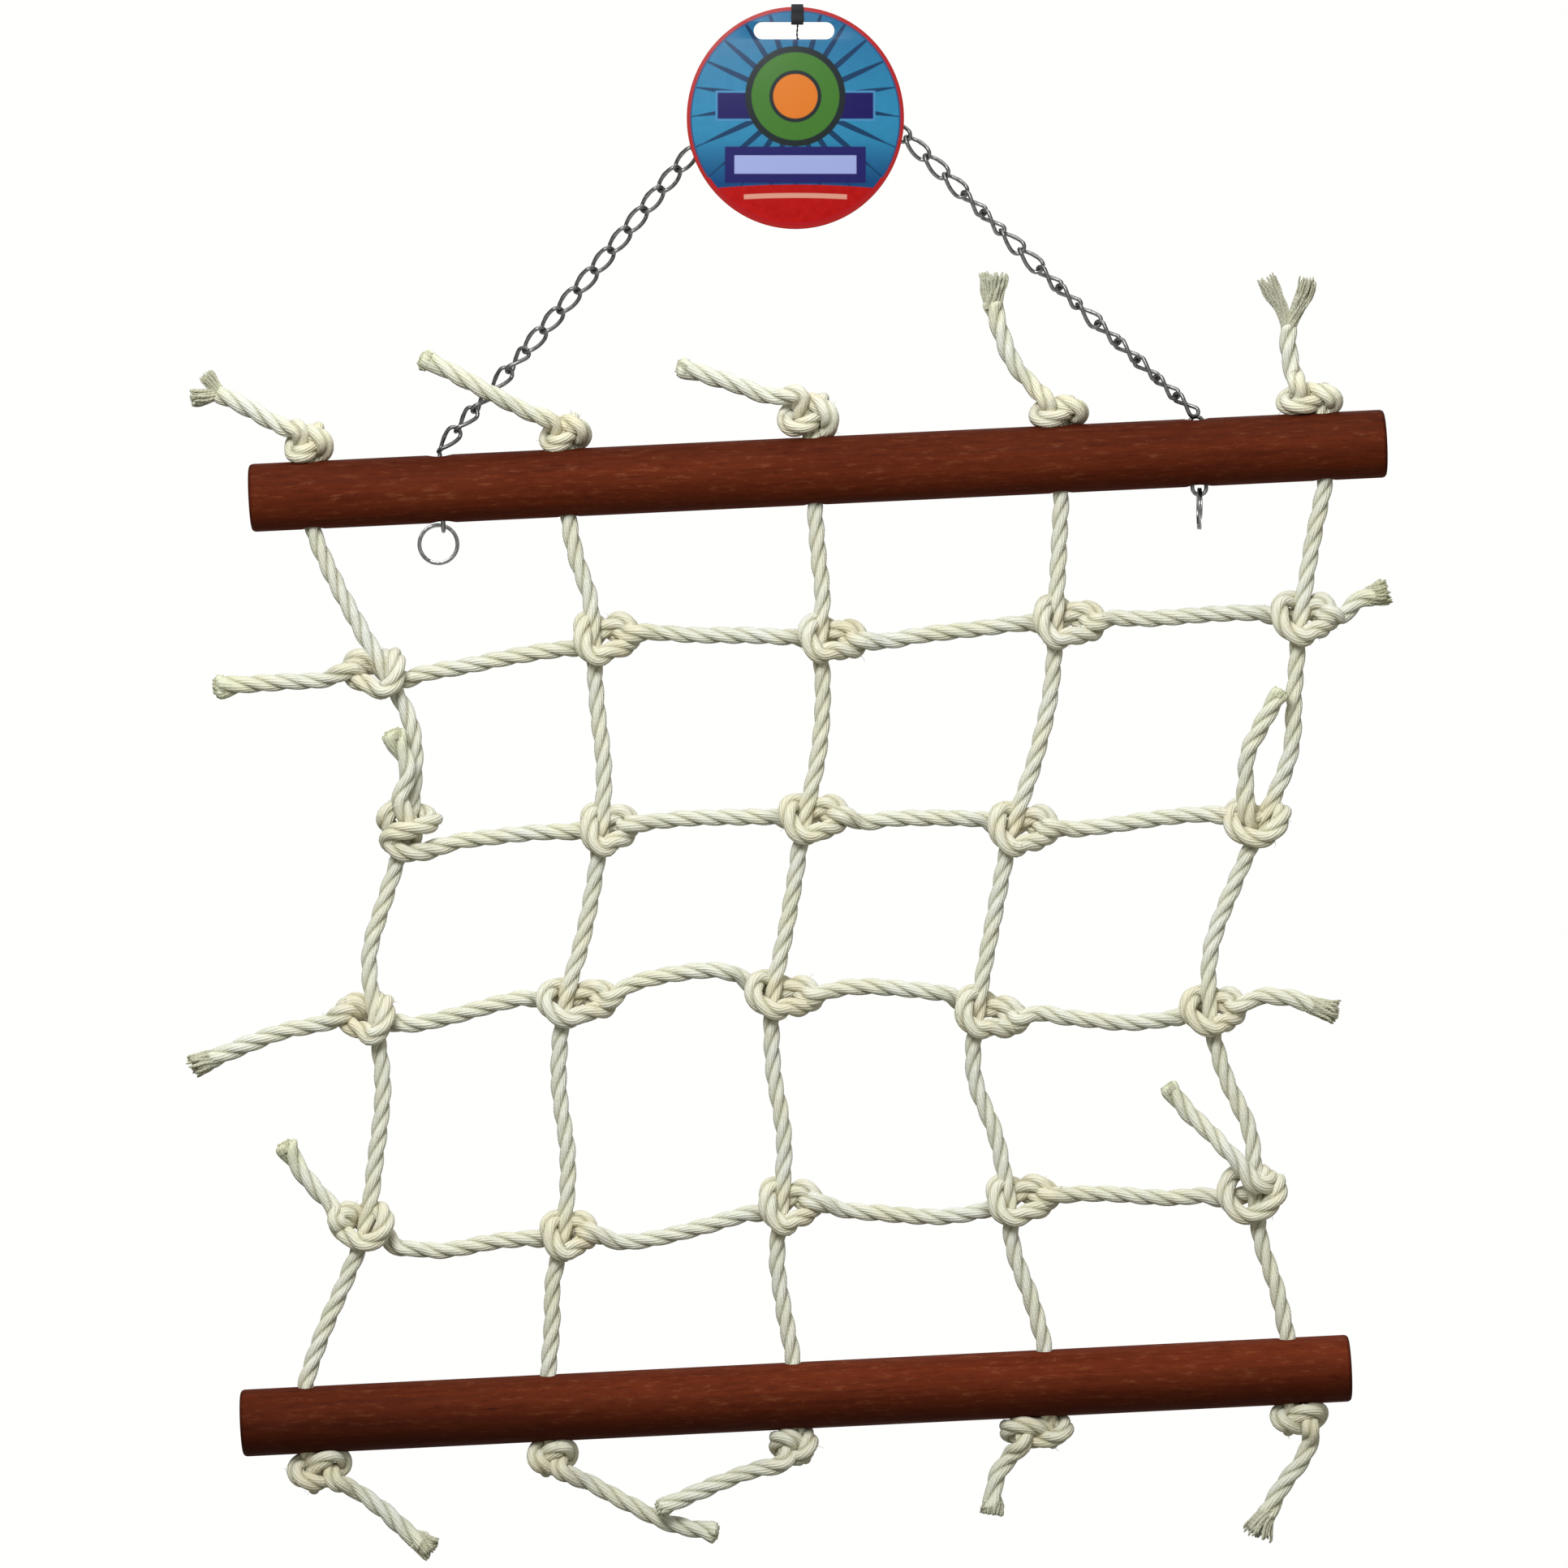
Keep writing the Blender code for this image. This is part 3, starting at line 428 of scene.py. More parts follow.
def card_material():
    m = Nodes("printed_card_look")
    uv = m.n('ShaderNodeUVMap')
    uv.uv_map = "card"
    sep = m.n('ShaderNodeSeparateXYZ')
    m.link(uv.outputs[0], sep.inputs[0])
    # card coordinates: centre of the disc at 0.5, one unit is 100 mm
    x = m.math('MULTIPLY', m.math('SUBTRACT', sep.outputs[0], 0.5), 100.0)
    z = m.math('MULTIPLY', m.math('SUBTRACT', sep.outputs[1], 0.5), 100.0)
    side = sep.outputs[2]

    def below(val, edge, soft=0.18):
        return m.span(val, edge + soft, edge - soft)

    def above(val, edge, soft=0.18):
        return m.span(val, edge - soft, edge + soft)

    def both(a, b):
        return m.math('MULTIPLY', a, b)

    rx = m.math('DIVIDE', x, TAG_W / 2)
    rz = m.math('DIVIDE', z, TAG_H / 2)
    r = m.math('SQRT', m.math('ADD', m.math('POWER', rx, 2.0), m.math('POWER', rz, 2.0)))
    rim = m.span(r, 0.962, 0.972)
    inner = m.span(r, 0.950, 0.956)
    paper = m.noise(m.combine(x, z, 0.0), 0.35, 3.0, 0.6)
    # narrow dark rays spread from behind the emblem, each a wedge that thins outward
    cx, cz = x, m.math('SUBTRACT', z, 6.0)
    ang = m.math('ARCTAN2', cx, cz)
    away = m.math('SQRT', m.math('ADD', m.math('POWER', cx, 2.0), m.math('POWER', cz, 2.0)))
    ray = m.math('ABSOLUTE', m.math('SUBTRACT', m.math('FRACT', m.math('ADD', m.math('MULTIPLY', ang, 22 / (2 * math.pi)), 0.5)), 0.5))
    ray_width = m.span(away, 11.0, 37.0, 0.26, 0.02)
    rays = m.span(m.math('SUBTRACT', ray_width, ray), -0.02, 0.02)
    sky = m.mix(m.span(m.math('ABSOLUTE', z), 34.0, 4.0), (0.014, 0.122, 0.255), (0.024, 0.200, 0.360))
    sky = m.mix(m.span(z, -8.0, -24.0), sky, (0.005, 0.048, 0.160))
    sky = m.mix(m.math('MULTIPLY', m.span(paper, 0.35, 0.7), 0.20), sky, (0.010, 0.110, 0.235))
    field = m.mix(m.math('MULTIPLY', rays, 0.92), sky, (0.004, 0.022, 0.075))
    # a plain straight band behind the emblem
    field = m.mix(both(below(m.math('ABSOLUTE', x), 29.5), below(m.math('ABSOLUTE', m.math('SUBTRACT', z, 4.5)), 5.6)), field, (0.055, 0.210, 0.400))
    field = m.mix(both(below(m.math('ABSOLUTE', x), 28.7), below(m.math('ABSOLUTE', m.math('SUBTRACT', z, 4.5)), 4.8)), field, (0.008, 0.005, 0.085))
    # a plain round emblem: a dark disc, a green one, an orange one
    def disc(px, pz, size):
        d = m.math('SQRT', m.math('ADD', m.math('POWER', m.math('SUBTRACT', x, px), 2.0), m.math('POWER', m.math('SUBTRACT', z, pz), 2.0)))
        return m.span(d, size + 0.2, size - 0.2)
    field = m.mix(disc(0.0, 8.0, 18.5), field, (0.010, 0.016, 0.018))
    field = m.mix(disc(0.0, 8.0, 16.2), field, (0.044, 0.150, 0.020))
    field = m.mix(disc(0.0, 8.0, 9.6), field, (0.010, 0.016, 0.018))
    field = m.mix(disc(0.0, 8.0, 8.2), field, (0.590, 0.155, 0.014))
    # the plain band and the lower segment
    bend = m.math('MULTIPLY', m.math('POWER', m.math('DIVIDE', x, 40.0), 2.0), 2.4)
    zb = m.math('ADD', z, bend)
    lower = below(zb, -24.6)
    field = m.mix(lower, field, m.mix(m.span(paper, 0.3, 0.7), (0.36, 0.003, 0.003), (0.43, 0.005, 0.004)))
    band_x = m.math('SUBTRACT', 26.0, m.math('ABSOLUTE', x))
    band = both(m.span(band_x, -0.2, 0.2), both(below(z, -10.6), above(z, -24.0)))
    field = m.mix(band, field, (0.014, 0.012, 0.105))
    stripe = both(below(m.math('ABSOLUTE', x), 22.5), below(m.math('ABSOLUTE', m.math('ADD', z, 17.2)), 3.4))
    field = m.mix(stripe, field, (0.30, 0.34, 0.62))
    field = m.mix(both(below(m.math('ABSOLUTE', x), 19.0), below(m.math('ABSOLUTE', m.math('ADD', zb, 28.6)), 0.9)), field, (0.62, 0.27, 0.20))
    field = m.mix(inner, field, (0.020, 0.060, 0.160))
    field = m.mix(m.math('MULTIPLY', inner, below(z, -22.0)), field, (0.40, 0.004, 0.004))
    field = m.mix(rim, field, (0.36, 0.014, 0.014))
    back = m.mix(m.span(paper, 0.3, 0.7), (0.62, 0.60, 0.56), (0.70, 0.69, 0.66))
    colour = m.mix(m.attribute("card_back"), field, back)
    m.set(Base_Color=colour, Roughness=m.span(paper, 0.3, 0.7, 0.34, 0.44), Normal=m.bump(paper, 0.05, 0.0002))
    m.shader.inputs['Specular IOR Level'].default_value = 0.12
    m.shader.inputs['Coat Weight'].default_value = 0.05
    m.shader.inputs['Coat Roughness'].default_value = 0.20
    return m.mat


ROPE = rope_material("laid_rope_look")
WOOD = wood_material("stained_wood_look")
STEEL = steel_material("chain_steel_look", 0.17)
RING_STEEL = steel_material("ring_steel_look", 0.26, (0.18, 0.36))
CARD = card_material()
TIE = tie_material()


def floor_material():
    m = Nodes("pale_floor")
    obj = m.n('ShaderNodeTexCoord').outputs['Object']
    n1 = m.noise(obj, 3.0, 2.0, 0.5)
    m.set(Base_Color=m.mix(n1, (0.80, 0.80, 0.79), (0.84, 0.84, 0.83)), Roughness=0.95)
    m.shader.inputs['Emission Color'].default_value = (1.0, 1.0, 0.98, 1)
    m.shader.inputs['Emission Strength'].default_value = 0.36
    m.shader.inputs['Specular IOR Level'].default_value = 0.1
    m.mat.cycles.emission_sampling = 'NONE'
    return m.mat


bpy.ops.mesh.primitive_circle_add(vertices=96, radius=6.0, fill_type='NGON', location=(0, 0, -1.27))
floor = bpy.context.object
floor.name = "floor"
floor.data.materials.append(floor_material())
floor.visible_diffuse = False          # its paleness must not light the object from below


# ---- paths -----------------------------------------------------------------------
def smooth_path(points, step):
    """Even points on a centripetal Catmull-Rom curve through the given ones."""
    pts = [points[0] * 2 - points[1]] + list(points) + [points[-1] * 2 - points[-2]]
    dense = []
    for p0, p1, p2, p3 in zip(pts, pts[1:], pts[2:], pts[3:]):
        t0 = 0.0
        t1 = t0 + max((p1 - p0).length, 1e-6) ** 0.5
        t2 = t1 + max((p2 - p1).length, 1e-6) ** 0.5
        t3 = t2 + max((p3 - p2).length, 1e-6) ** 0.5
        for i in range(24):
            t = t1 + (t2 - t1) * i / 24
            a1 = p0 * ((t1 - t) / (t1 - t0)) + p1 * ((t - t0) / (t1 - t0))
            a2 = p1 * ((t2 - t) / (t2 - t1)) + p2 * ((t - t1) / (t2 - t1))
            a3 = p2 * ((t3 - t) / (t3 - t2)) + p3 * ((t - t2) / (t3 - t2))
            b1 = a1 * ((t2 - t) / (t2 - t0)) + a2 * ((t - t0) / (t2 - t0))
            b2 = a2 * ((t3 - t) / (t3 - t1)) + a3 * ((t - t1) / (t3 - t1))
            dense.append(b1 * ((t2 - t) / (t2 - t1)) + b2 * ((t - t1) / (t2 - t1)))
    dense.append(points[-1].copy())
    return even(dense, step)


def even(dense, step):
    total = sum((b - a).length for a, b in zip(dense, dense[1:]))
    count = max(1, round(total / step))
    out, want, done = [dense[0].copy()], total / count, 0.0
    for a, b in zip(dense, dense[1:]):
        seg = (b - a).length
        while seg > 0 and done + seg >= want * len(out) - 1e-9 and len(out) < count:
            out.append(a.lerp(b, (want * len(out) - done) / seg))
        done += seg
    out.append(dense[-1].copy())
    return out


def at_length(path, s):
    for a, b in zip(path, path[1:]):
        seg = (b - a).length
        if s <= seg:
            return a.lerp(b, s / seg), (b - a).normalized()
        s -= seg
    d = (path[-1] - path[-2]).normalized()
    return path[-1] + d * s, d


def frames(path):
    """Tangents and a turning-free pair of normals along an array of points."""
    p = np.array([tuple(q) for q in path])
    t = np.gradient(p, axis=0)
    t /= np.linalg.norm(t, axis=1)[:, None]
    n = np.zeros_like(p)
    ref = np.array([0.0, -1.0, 0.0])
    if abs(t[0] @ ref) > 0.9:
        ref = np.array([1.0, 0.0, 0.0])
    a = np.cross(t[0], np.cross(ref, t[0]))
    n[0] = a / np.linalg.norm(a)
    for i in range(1, len(p)):
        axis = np.cross(t[i - 1], t[i])
        size = np.linalg.norm(axis)
        q = n[i - 1]
        if size > 1e-9:
            axis /= size
            ang = math.atan2(size, float(t[i - 1] @ t[i]))
            q = q * math.cos(ang) + np.cross(axis, q) * math.sin(ang) + axis * (axis @ q) * (1 - math.cos(ang))
        q = q - t[i] * (q @ t[i])
        n[i] = q / np.linalg.norm(q)
    b = np.cross(t, n)
    s = np.concatenate([[0.0], np.cumsum(np.linalg.norm(np.diff(p, axis=0), axis=1))])
    return p, t, n, b, s


# ---- laid rope ---------------------------------------------------------------------
PER = 9                                   # points on each strand's outside


def rope_section():
    """Three strands' outline at unit rope radius: angle, radius, place round."""
    big, small = 0.515, 0.485             # strand centre and strand radius
    lim = None
    lo_a, hi_a = 0.0, math.pi
    # where the strand's arc meets the line to the neighbour, 60 degrees round
    for _ in range(40):
        mid = (lo_a + hi_a) / 2
        x, y = big + small * math.cos(mid), small * math.sin(mid)
        if math.atan2(y, x) < math.radians(60) and mid < 3.0:
            lo_a = mid
        else:
            hi_a = mid
    lim = lo_a
    out = []
    for k in range(3):
        for j in range(PER):
            a = -lim + 2 * lim * j / PER
            x, y = big + small * math.cos(a), small * math.sin(a)
            ang = math.atan2(y, x) + k * 2 * math.pi / 3
            out.append((ang, 1.0 - (1.0 - math.hypot(x, y)) * 0.58, (k + j / PER) / 3))
    return np.array(out)


SECTION = rope_section()
N_AROUND = len(SECTION)


class Rope:
    """One length of laid rope, swept once and cut into as many pieces as it needs."""
    def __init__(self, points, seed, step=0.95, radius=ROPE_R, knot=None, tip_start=None, tip_end=None, flat=0.0):
        self.seed = seed
        self.path = smooth_path(points, step)
        self.p, self.t, self.n, self.b, self.s = frames(self.path)
        count = len(self.p)
        total = self.s[-1]
        size = np.ones(count)
        for i in range(count):
            q = noise.noise(Vector((self.s[i] * 0.045, seed * 7.31, 0.0)))
            w = noise.noise(Vector((self.s[i] * 0.16, seed * 3.17, 5.0)))
            size[i] = 1.0 + 0.035 * q + 0.02 * w
        self.tip = np.zeros(count)
        for spec, dist in ((tip_start, self.s), (tip_end, total - self.s)):
            if not spec:
                continue
            swell, reach, rounding = spec.get('swell', 1.0), spec.get('reach', 9.0), spec.get('round', 1.4)
            f = np.clip(1 - dist / reach, 0, 1)
            size *= 1 + (swell - 1) * f * f * (3 - 2 * f)
            size *= 1 + spec.get('full', 0.07) * np.clip((30 - dist) / 12, 0, 1)
            e = np.clip(dist / rounding, 0, 1)
            size *= 0.62 + 0.38 * np.sqrt(np.clip(1 - (1 - e) ** 2, 0, 1))
            tint = spec.get('tint', 1.0)
            self.tip = np.maximum(self.tip, tint * np.clip(1 - dist / (reach * 1.6), 0, 1))
        self.knot = np.zeros(count)
        tight = np.zeros(count)
        if knot:
            for centre, reach, squeeze in knot:
                d = np.linalg.norm(self.p - np.array(tuple(centre)), axis=1)
                self.knot = np.maximum(self.knot, np.clip(1.6 - d / reach, 0, 1))
                f = np.clip((reach * 1.6 - d) / (reach * 0.5), 0, 1)
                f = squeeze * f * f * (3 - 2 * f)
                tight = np.where(np.abs(f) > np.abs(tight), f, tight)
        self.size = size * radius * (1 - tight)
        phase = 2 * math.pi * self.s / LAY + seed
        ang = SECTION[:, 0][None, :] + phase[:, None]
        # each strand swells and thins a little on its own
        rad = np.tile(SECTION[:, 1][None, :], (count, 1))
        strand = np.repeat(np.arange(3), PER)
        for k in range(3):
            wob = np.array([1 + 0.05 * noise.noise(Vector((x * 0.11, seed * 1.7 + k * 9.1, 2.0))) for x in self.s])
            rad[:, strand == k] *= wob[:, None]
        rad = rad * self.size[:, None]
        self.verts = (self.p[:, None, :] + self.n[:, None, :] * (np.cos(ang) * rad)[:, :, None]
                      + self.b[:, None, :] * (np.sin(ang) * rad)[:, :, None])

    def index(self, s):
        return int(np.clip(round(float(np.searchsorted(self.s, s))), 0, len(self.s) - 1))

    def nearest(self, point, lo=0, hi=None):
        hi = len(self.p) if hi is None else hi
        d = np.linalg.norm(self.p[lo:hi] - np.array(tuple(point)), axis=1)
        return lo + int(np.argmin(d))

    def data(self, i0, i1):
        """Vertices, faces, face-corner UVs and point attributes of one stretch."""
        rows = self.verts[i0:i1 + 1]
        m, n = rows.shape[0], N_AROUND
        verts = rows.reshape(-1, 3)
        cap0 = self.p[i0] - self.t[i0] * 0.35 * (1 if i0 == 0 else 0)
        cap1 = self.p[i1] + self.t[i1] * 0.35 * (1 if i1 == len(self.p) - 1 else 0)
        verts = np.vstack([verts, cap0, cap1])
        faces, uvs = [], []
        us = np.append(SECTION[:, 2], 1.0)
        for i in range(m - 1):
            va, vb = self.s[i0 + i] / 100, self.s[i0 + i + 1] / 100
            for j in range(n):
                k = (j + 1) % n
                faces.append((i * n + j, (i + 1) * n + j, (i + 1) * n + k, i * n + k))
                uvs += [(us[j], va), (us[j], vb), (us[j + 1], vb), (us[j + 1], va)]
        a, b = m * n, m * n + 1
        for j in range(n):
            k = (j + 1) % n
            faces.append((j, k, a))
            uvs += [(us[j], self.s[i0] / 100), (us[j + 1], self.s[i0] / 100), (us[j], self.s[i0] / 100)]
            faces.append(((m - 1) * n + k, (m - 1) * n + j, b))
            uvs += [(us[j + 1], self.s[i1] / 100), (us[j], self.s[i1] / 100), (us[j], self.s[i1] / 100)]
        knot = np.append(np.repeat(self.knot[i0:i1 + 1], n), [self.knot[i0], self.knot[i1]])
        tip = np.append(np.repeat(self.tip[i0:i1 + 1], n), [self.tip[i0], self.tip[i1]])
        return verts, faces, uvs, knot, tip


def rope_object(name, stretches, body=None, fibres=()):
    """A mesh made of one or more (rope, from, to) stretches."""
    verts, faces, uvs, knot, tip = [], [], [], [], []
    base = 0
    for rope, i0, i1 in stretches:
        vv, ff, uu, kk, tt = rope.data(i0, i1)
        verts.append(vv)
        faces += [tuple(q + base for q in f) for f in ff]
        uvs += uu
        knot.append(kk)
        tip.append(tt)
        base += len(vv)
    if fibres:
        vv, ff, uu, kk, tt = tube_data(fibres, base, 0.0, 0.25, 3)
        verts.append(vv)
        faces += ff
        uvs += uu
        knot.append(kk)
        tip.append(tt)
    return finish_rope(name, np.vstack(verts), faces, uvs, np.concatenate(knot), np.concatenate(tip), body)


def finish_rope(name, verts, faces, uvs, knot, tip, body):
    mesh = bpy.data.meshes.new(name)
    mesh.from_pydata((verts * MM).tolist(), [], faces)
    layer = mesh.uv_layers.new(name="lay")
    layer.data.foreach_set("uv", np.array(uvs, dtype=np.float32).ravel())
    for label, values in (("knot", knot), ("tip", tip)):
        att = mesh.attributes.new(label, 'FLOAT', 'POINT')
        att.data.foreach_set("value", np.asarray(values, dtype=np.float32))
    mesh.materials.append(ROPE)
    mesh.validate()
    mesh.shade_smooth()
    mesh.set_sharp_from_angle(angle=math.radians(62))
    obj = bpy.data.objects.new(name, mesh)
    scene.collection.objects.link(obj)
    if body:
        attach(obj, body)
    return obj


def tube_data(lines, base, tips, knot, sides):
    """Round tubes: a list of (points, radius at start, radius at end)."""
    verts, faces, uvs, kk, tt = [], [], [], [], []
    for points, r0, r1 in lines:
        path = smooth_path(points, max(0.9, r0 * 0.8))
        p, t, n, b, s = frames(path)
        m = len(p)
        f = s / s[-1]
        rad = r0 + (r1 - r0) * f
        rad = rad * np.sqrt(np.clip(1 - np.clip((f - 0.93) / 0.07, 0, 1) ** 2 * 0.75, 0.05, 1))
        a = np.arange(sides) / sides * 2 * math.pi
        ring = p[:, None, :] + n[:, None, :] * (np.cos(a)[None, :] * rad[:, None])[:, :, None] + b[:, None, :] * (np.sin(a)[None, :] * rad[:, None])[:, :, None]
        verts.append(ring.reshape(-1, 3))
        verts.append(np.vstack([p[0] - t[0] * 0.1, p[-1] + t[-1] * rad[-1] * 0.5]))
        for i in range(m - 1):
            for j in range(sides):
                k = (j + 1) % sides
                faces.append((base + i * sides + j, base + (i + 1) * sides + j, base + (i + 1) * sides + k, base + i * sides + k))
                uvs += [(j / sides / 3, s[i] / 100), (j / sides / 3, s[i + 1] / 100), ((j + 1) / sides / 3, s[i + 1] / 100), ((j + 1) / sides / 3, s[i] / 100)]
        c0, c1 = base + m * sides, base + m * sides + 1
        for j in range(sides):
            k = (j + 1) % sides
            faces.append((base + j, base + k, c0))
            faces.append((base + (m - 1) * sides + k, base + (m - 1) * sides + j, c1))
            uvs += [(0.1, 0.0)] * 3 + [(0.1, s[-1] / 100)] * 3
        kk.append(np.full(m * sides + 2, knot))
        tt.append(np.append(np.repeat(f * tips, sides), [0, tips]))
        base += m * sides + 2
    return np.vstack(verts), faces, uvs, np.concatenate(kk), np.concatenate(tt)


def yarn_tubes(name, lines, body, tips=0.6, knot=0.2, sides=6):
    verts, faces, uvs, kk, tt = tube_data(lines, 0, tips, knot, sides)
    return finish_rope(name, verts, faces, uvs, kk, tt, body)


def fray(route, count, r0, r1, seed, yarn=(0.55, 0.34), turn=1.0, uneven=0.16, loose=0.8, dome=0.0):
    """The opened end of a rope or of one strand: yarns along a route, spreading
    from radius r0 to radius r1."""
    axis = smooth_path([Vector(q) for q in route], 1.0)
    p, t, n, b, s = frames(axis)
    f = s / s[-1]
    lines = []
    for i in range(count):
        off = math.sqrt((i + 0.5) / count)
        ang = i * 2.39996 + seed
        end = 1.0 - uneven * abs(noise.noise(Vector((i * 3.7, seed * 2.1, 0.5)))) * 1.8 - dome * off * off
        pts = []
        for j in range(len(p)):
            if f[j] > end:
                break
            g = f[j] * f[j] * (3 - 2 * f[j])
            r = off * (r0 + (r1 - r0) * g)
            a = ang + turn * 2 * math.pi * s[j] / LAY * (1 - 0.6 * f[j])
            q = Vector(p[j] + n[j] * math.cos(a) * r + b[j] * math.sin(a) * r)
            wave = noise.noise_vector(Vector((i * 5.3 + seed, s[j] * 0.22, 1.0)))
            pts.append(q + wave * loose * f[j])
        if len(pts) > 2:
            lines.append((pts, yarn[0], yarn[1]))
    return lines


def fuzz(rope, i0, i1, count, seed, reach=(2.5, 6.0)):
    """Loose fibres standing off a stretch of rope."""
    lines = []
    span = rope.verts.shape[1]
    for k in range(count):
        r1 = noise.noise(Vector((k * 1.37, seed * 4.1, 0.0))) * 0.5 + 0.5
        i = i0 + int((i1 - i0) * ((k * 0.6180339 + 0.21 * r1) % 1.0))
        j = int((k * 7 + seed * 3) % span)
        root = Vector(rope.verts[i, j])
        out = (root - Vector(rope.p[i])).normalized()
        w = noise.noise_vector(Vector((k * 2.9, seed * 1.3, 4.0)))
        way = (out * 0.9 + Vector(rope.t[i]) * w.x * 1.6 + w * 0.9).normalized()
        bend = Vector((w.z, w.y * 0.6, w.x - 0.25))
        size = reach[0] + (reach[1] - reach[0]) * abs(w.y) * 1.4
        lines.append(([root - out * 0.5, root + way * size * 0.4, root + way * size * 0.75 + bend * size * 0.25,
                       root + way * size * 0.9 + bend * size * 0.75], 0.10, 0.05))
    return lines


# ---- the bars ----------------------------------------------------------------------
def rod(name, bar, rope_holes, chain_holes, body):
    """A turned dowel with softened ends and drilled bores."""
    seg, r, half = 112, bar['d'] / 2, bar['length'] / 2
    near = -half + bar['short']
    profile = [(near, 0.0), (near, 3.0), (near, 7.5), (near, r - 1.5), (near + 0.2, r - 0.8), (near + 0.65, r - 0.3), (near + 1.5, r)]
    xs = np.linspace(-half + 6, half - 6, 60)
    profile += [(float(x), r) for x in xs]
    profile += [(half - 1.5, r), (half - 0.65, r - 0.3), (half - 0.2, r - 0.8), (half, r - 1.5), (half, 7.5), (half, 3.0), (half, 0.0)]
    turn = Matrix.Translation(v(bar['x'], bar['z'] - bar['drop'])) @ Matrix.Rotation(-math.radians(LEAN_DEG + bar['tilt']), 4, 'Y')
    verts, faces = [], []
    rows = []
    for i, (x, rad) in enumerate(profile):
        if rad == 0.0:
            verts.append(turn @ Vector((x, 0, 0)))
            rows.append([len(verts) - 1])
            continue
        row = []
        for j in range(seg):
            a = 2 * math.pi * j / seg
            wob = 1 + 0.0016 * noise.noise(Vector((x * 0.05, math.cos(a) * 1.3, math.sin(a) * 1.3 + bar['z'])))
            verts.append(turn @ Vector((x, math.cos(a) * rad * wob, math.sin(a) * rad * wob)))
            row.append(len(verts) - 1)
        rows.append(row)
    for a, b in zip(rows, rows[1:]):
        if len(a) == 1:
            faces += [(a[0], b[j], b[(j + 1) % seg]) for j in range(seg)]
        elif len(b) == 1:
            faces += [(a[j], b[0], a[(j + 1) % seg]) for j in range(seg)]
        else:
            faces += [(a[j], b[j], b[(j + 1) % seg], a[(j + 1) % seg]) for j in range(seg)]
    mesh = bpy.data.meshes.new(name)
    mesh.from_pydata([tuple(q * MM) for q in verts], [], faces)
    bm = bmesh.new()
    bm.from_mesh(mesh)
    bmesh.ops.recalc_face_normals(bm, faces=bm.faces)
    bm.to_mesh(mesh)
    bm.free()
    obj = bpy.data.objects.new(name, mesh)
    scene.collection.objects.link(obj)
    cut_verts, cut_faces = [], []
    for x, d in [(x, 7.25) for x in rope_holes] + [(x, 8.3) for x in chain_holes]:
        flare = ((-20.0, d / 2 + 7.0), (-12.9, d / 2 + 1.1), (-12.3, d / 2 + 0.45), (-11.3, d / 2), (11.3, d / 2), (12.3, d / 2 + 0.45), (12.9, d / 2 + 1.1), (20.0, d / 2 + 7.0))
        base, sides = len(cut_verts), 40
        for t, rad in flare:
            for j in range(sides):
                a = 2 * math.pi * j / sides
                cut_verts.append(tuple((bar_point(bar, x, t) + ALONG * (math.cos(a) * rad) + Vector((0, math.sin(a) * rad, 0))) * MM))
        for i in range(len(flare) - 1):
            for j in range(sides):
                k = (j + 1) % sides
                cut_faces.append((base + i * sides + j, base + i * sides + k, base + (i + 1) * sides + k, base + (i + 1) * sides + j))
        cut_faces.append(tuple(base + j for j in reversed(range(sides))))
        cut_faces.append(tuple(base + (len(flare) - 1) * sides + j for j in range(sides)))
    cut_mesh = bpy.data.meshes.new("bores")
    cut_mesh.from_pydata(cut_verts, [], cut_faces)
    bm = bmesh.new()
    bm.from_mesh(cut_mesh)
    bmesh.ops.recalc_face_normals(bm, faces=bm.faces)
    bm.to_mesh(cut_mesh)
    bm.free()
    cutter = bpy.data.objects.new("bores", cut_mesh)
    scene.collection.objects.link(cutter)
    mod = obj.modifiers.new("bore", 'BOOLEAN')
    mod.operation = 'DIFFERENCE'
    mod.solver = 'EXACT'
    mod.object = cutter
    bpy.context.view_layer.update()
    done = bpy.data.meshes.new_from_object(obj.evaluated_get(bpy.context.evaluated_depsgraph_get()))
    obj.modifiers.clear()
    obj.data = done
    bpy.data.objects.remove(cutter, do_unlink=True)
    done.materials.clear()
    done.materials.append(WOOD)
    att = done.attributes.new("end_grain", 'FLOAT', 'FACE')
    done.polygons.foreach_set("material_index", [0] * len(done.polygons))
    ends = []
    for p in done.polygons:
        c = Vector(p.center) / MM - v(bar['x'], bar['z'])
        along = abs(c.dot(ALONG))
        ends.append(1.0 if along > half - 0.2 - bar['short'] and abs(Vector(p.normal).dot(ALONG)) > 0.8 else 0.0)
    att.data.foreach_set("value", ends)
    painted_light_and_stain = done.attributes.new("painted_light_and_stain", 'FLOAT', 'POINT')
    levels = []
    for q in done.vertices:
        c = Vector(q.co) / MM - v(bar['x'], bar['z'])
        x, t = c.dot(ALONG), c.dot(UPWARD) / r
        # painted shade round the bar, darker towards its underside and edges, times painted light along it; the last
        # 1.2 mm at each end is darker as stain on the softened end
        level = float(np.interp(t, [a for a, b in bar['painted_shade']], [b for a, b in bar['painted_shade']]))
        level *= float(np.interp(x, [a for a, b in bar['light']], [b for a, b in bar['light']]))
        levels.append(level * (0.62 if min(x - near, half - x) < 1.2 else 1.0))
    painted_light_and_stain.data.foreach_set("value", levels)
    done.shade_smooth()
    done.set_sharp_from_angle(angle=math.radians(38))
    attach(obj, body)
    return obj


upper = rod("upper_wooden_bar", TOP_BAR, HOLES_TOP, CHAIN_HOLES_X, "upper_bar")
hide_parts("top_bar")
lower = rod("lower_wooden_bar", BOTTOM_BAR, HOLES_BOTTOM, (), "lower_bar")
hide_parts("bottom_bar")


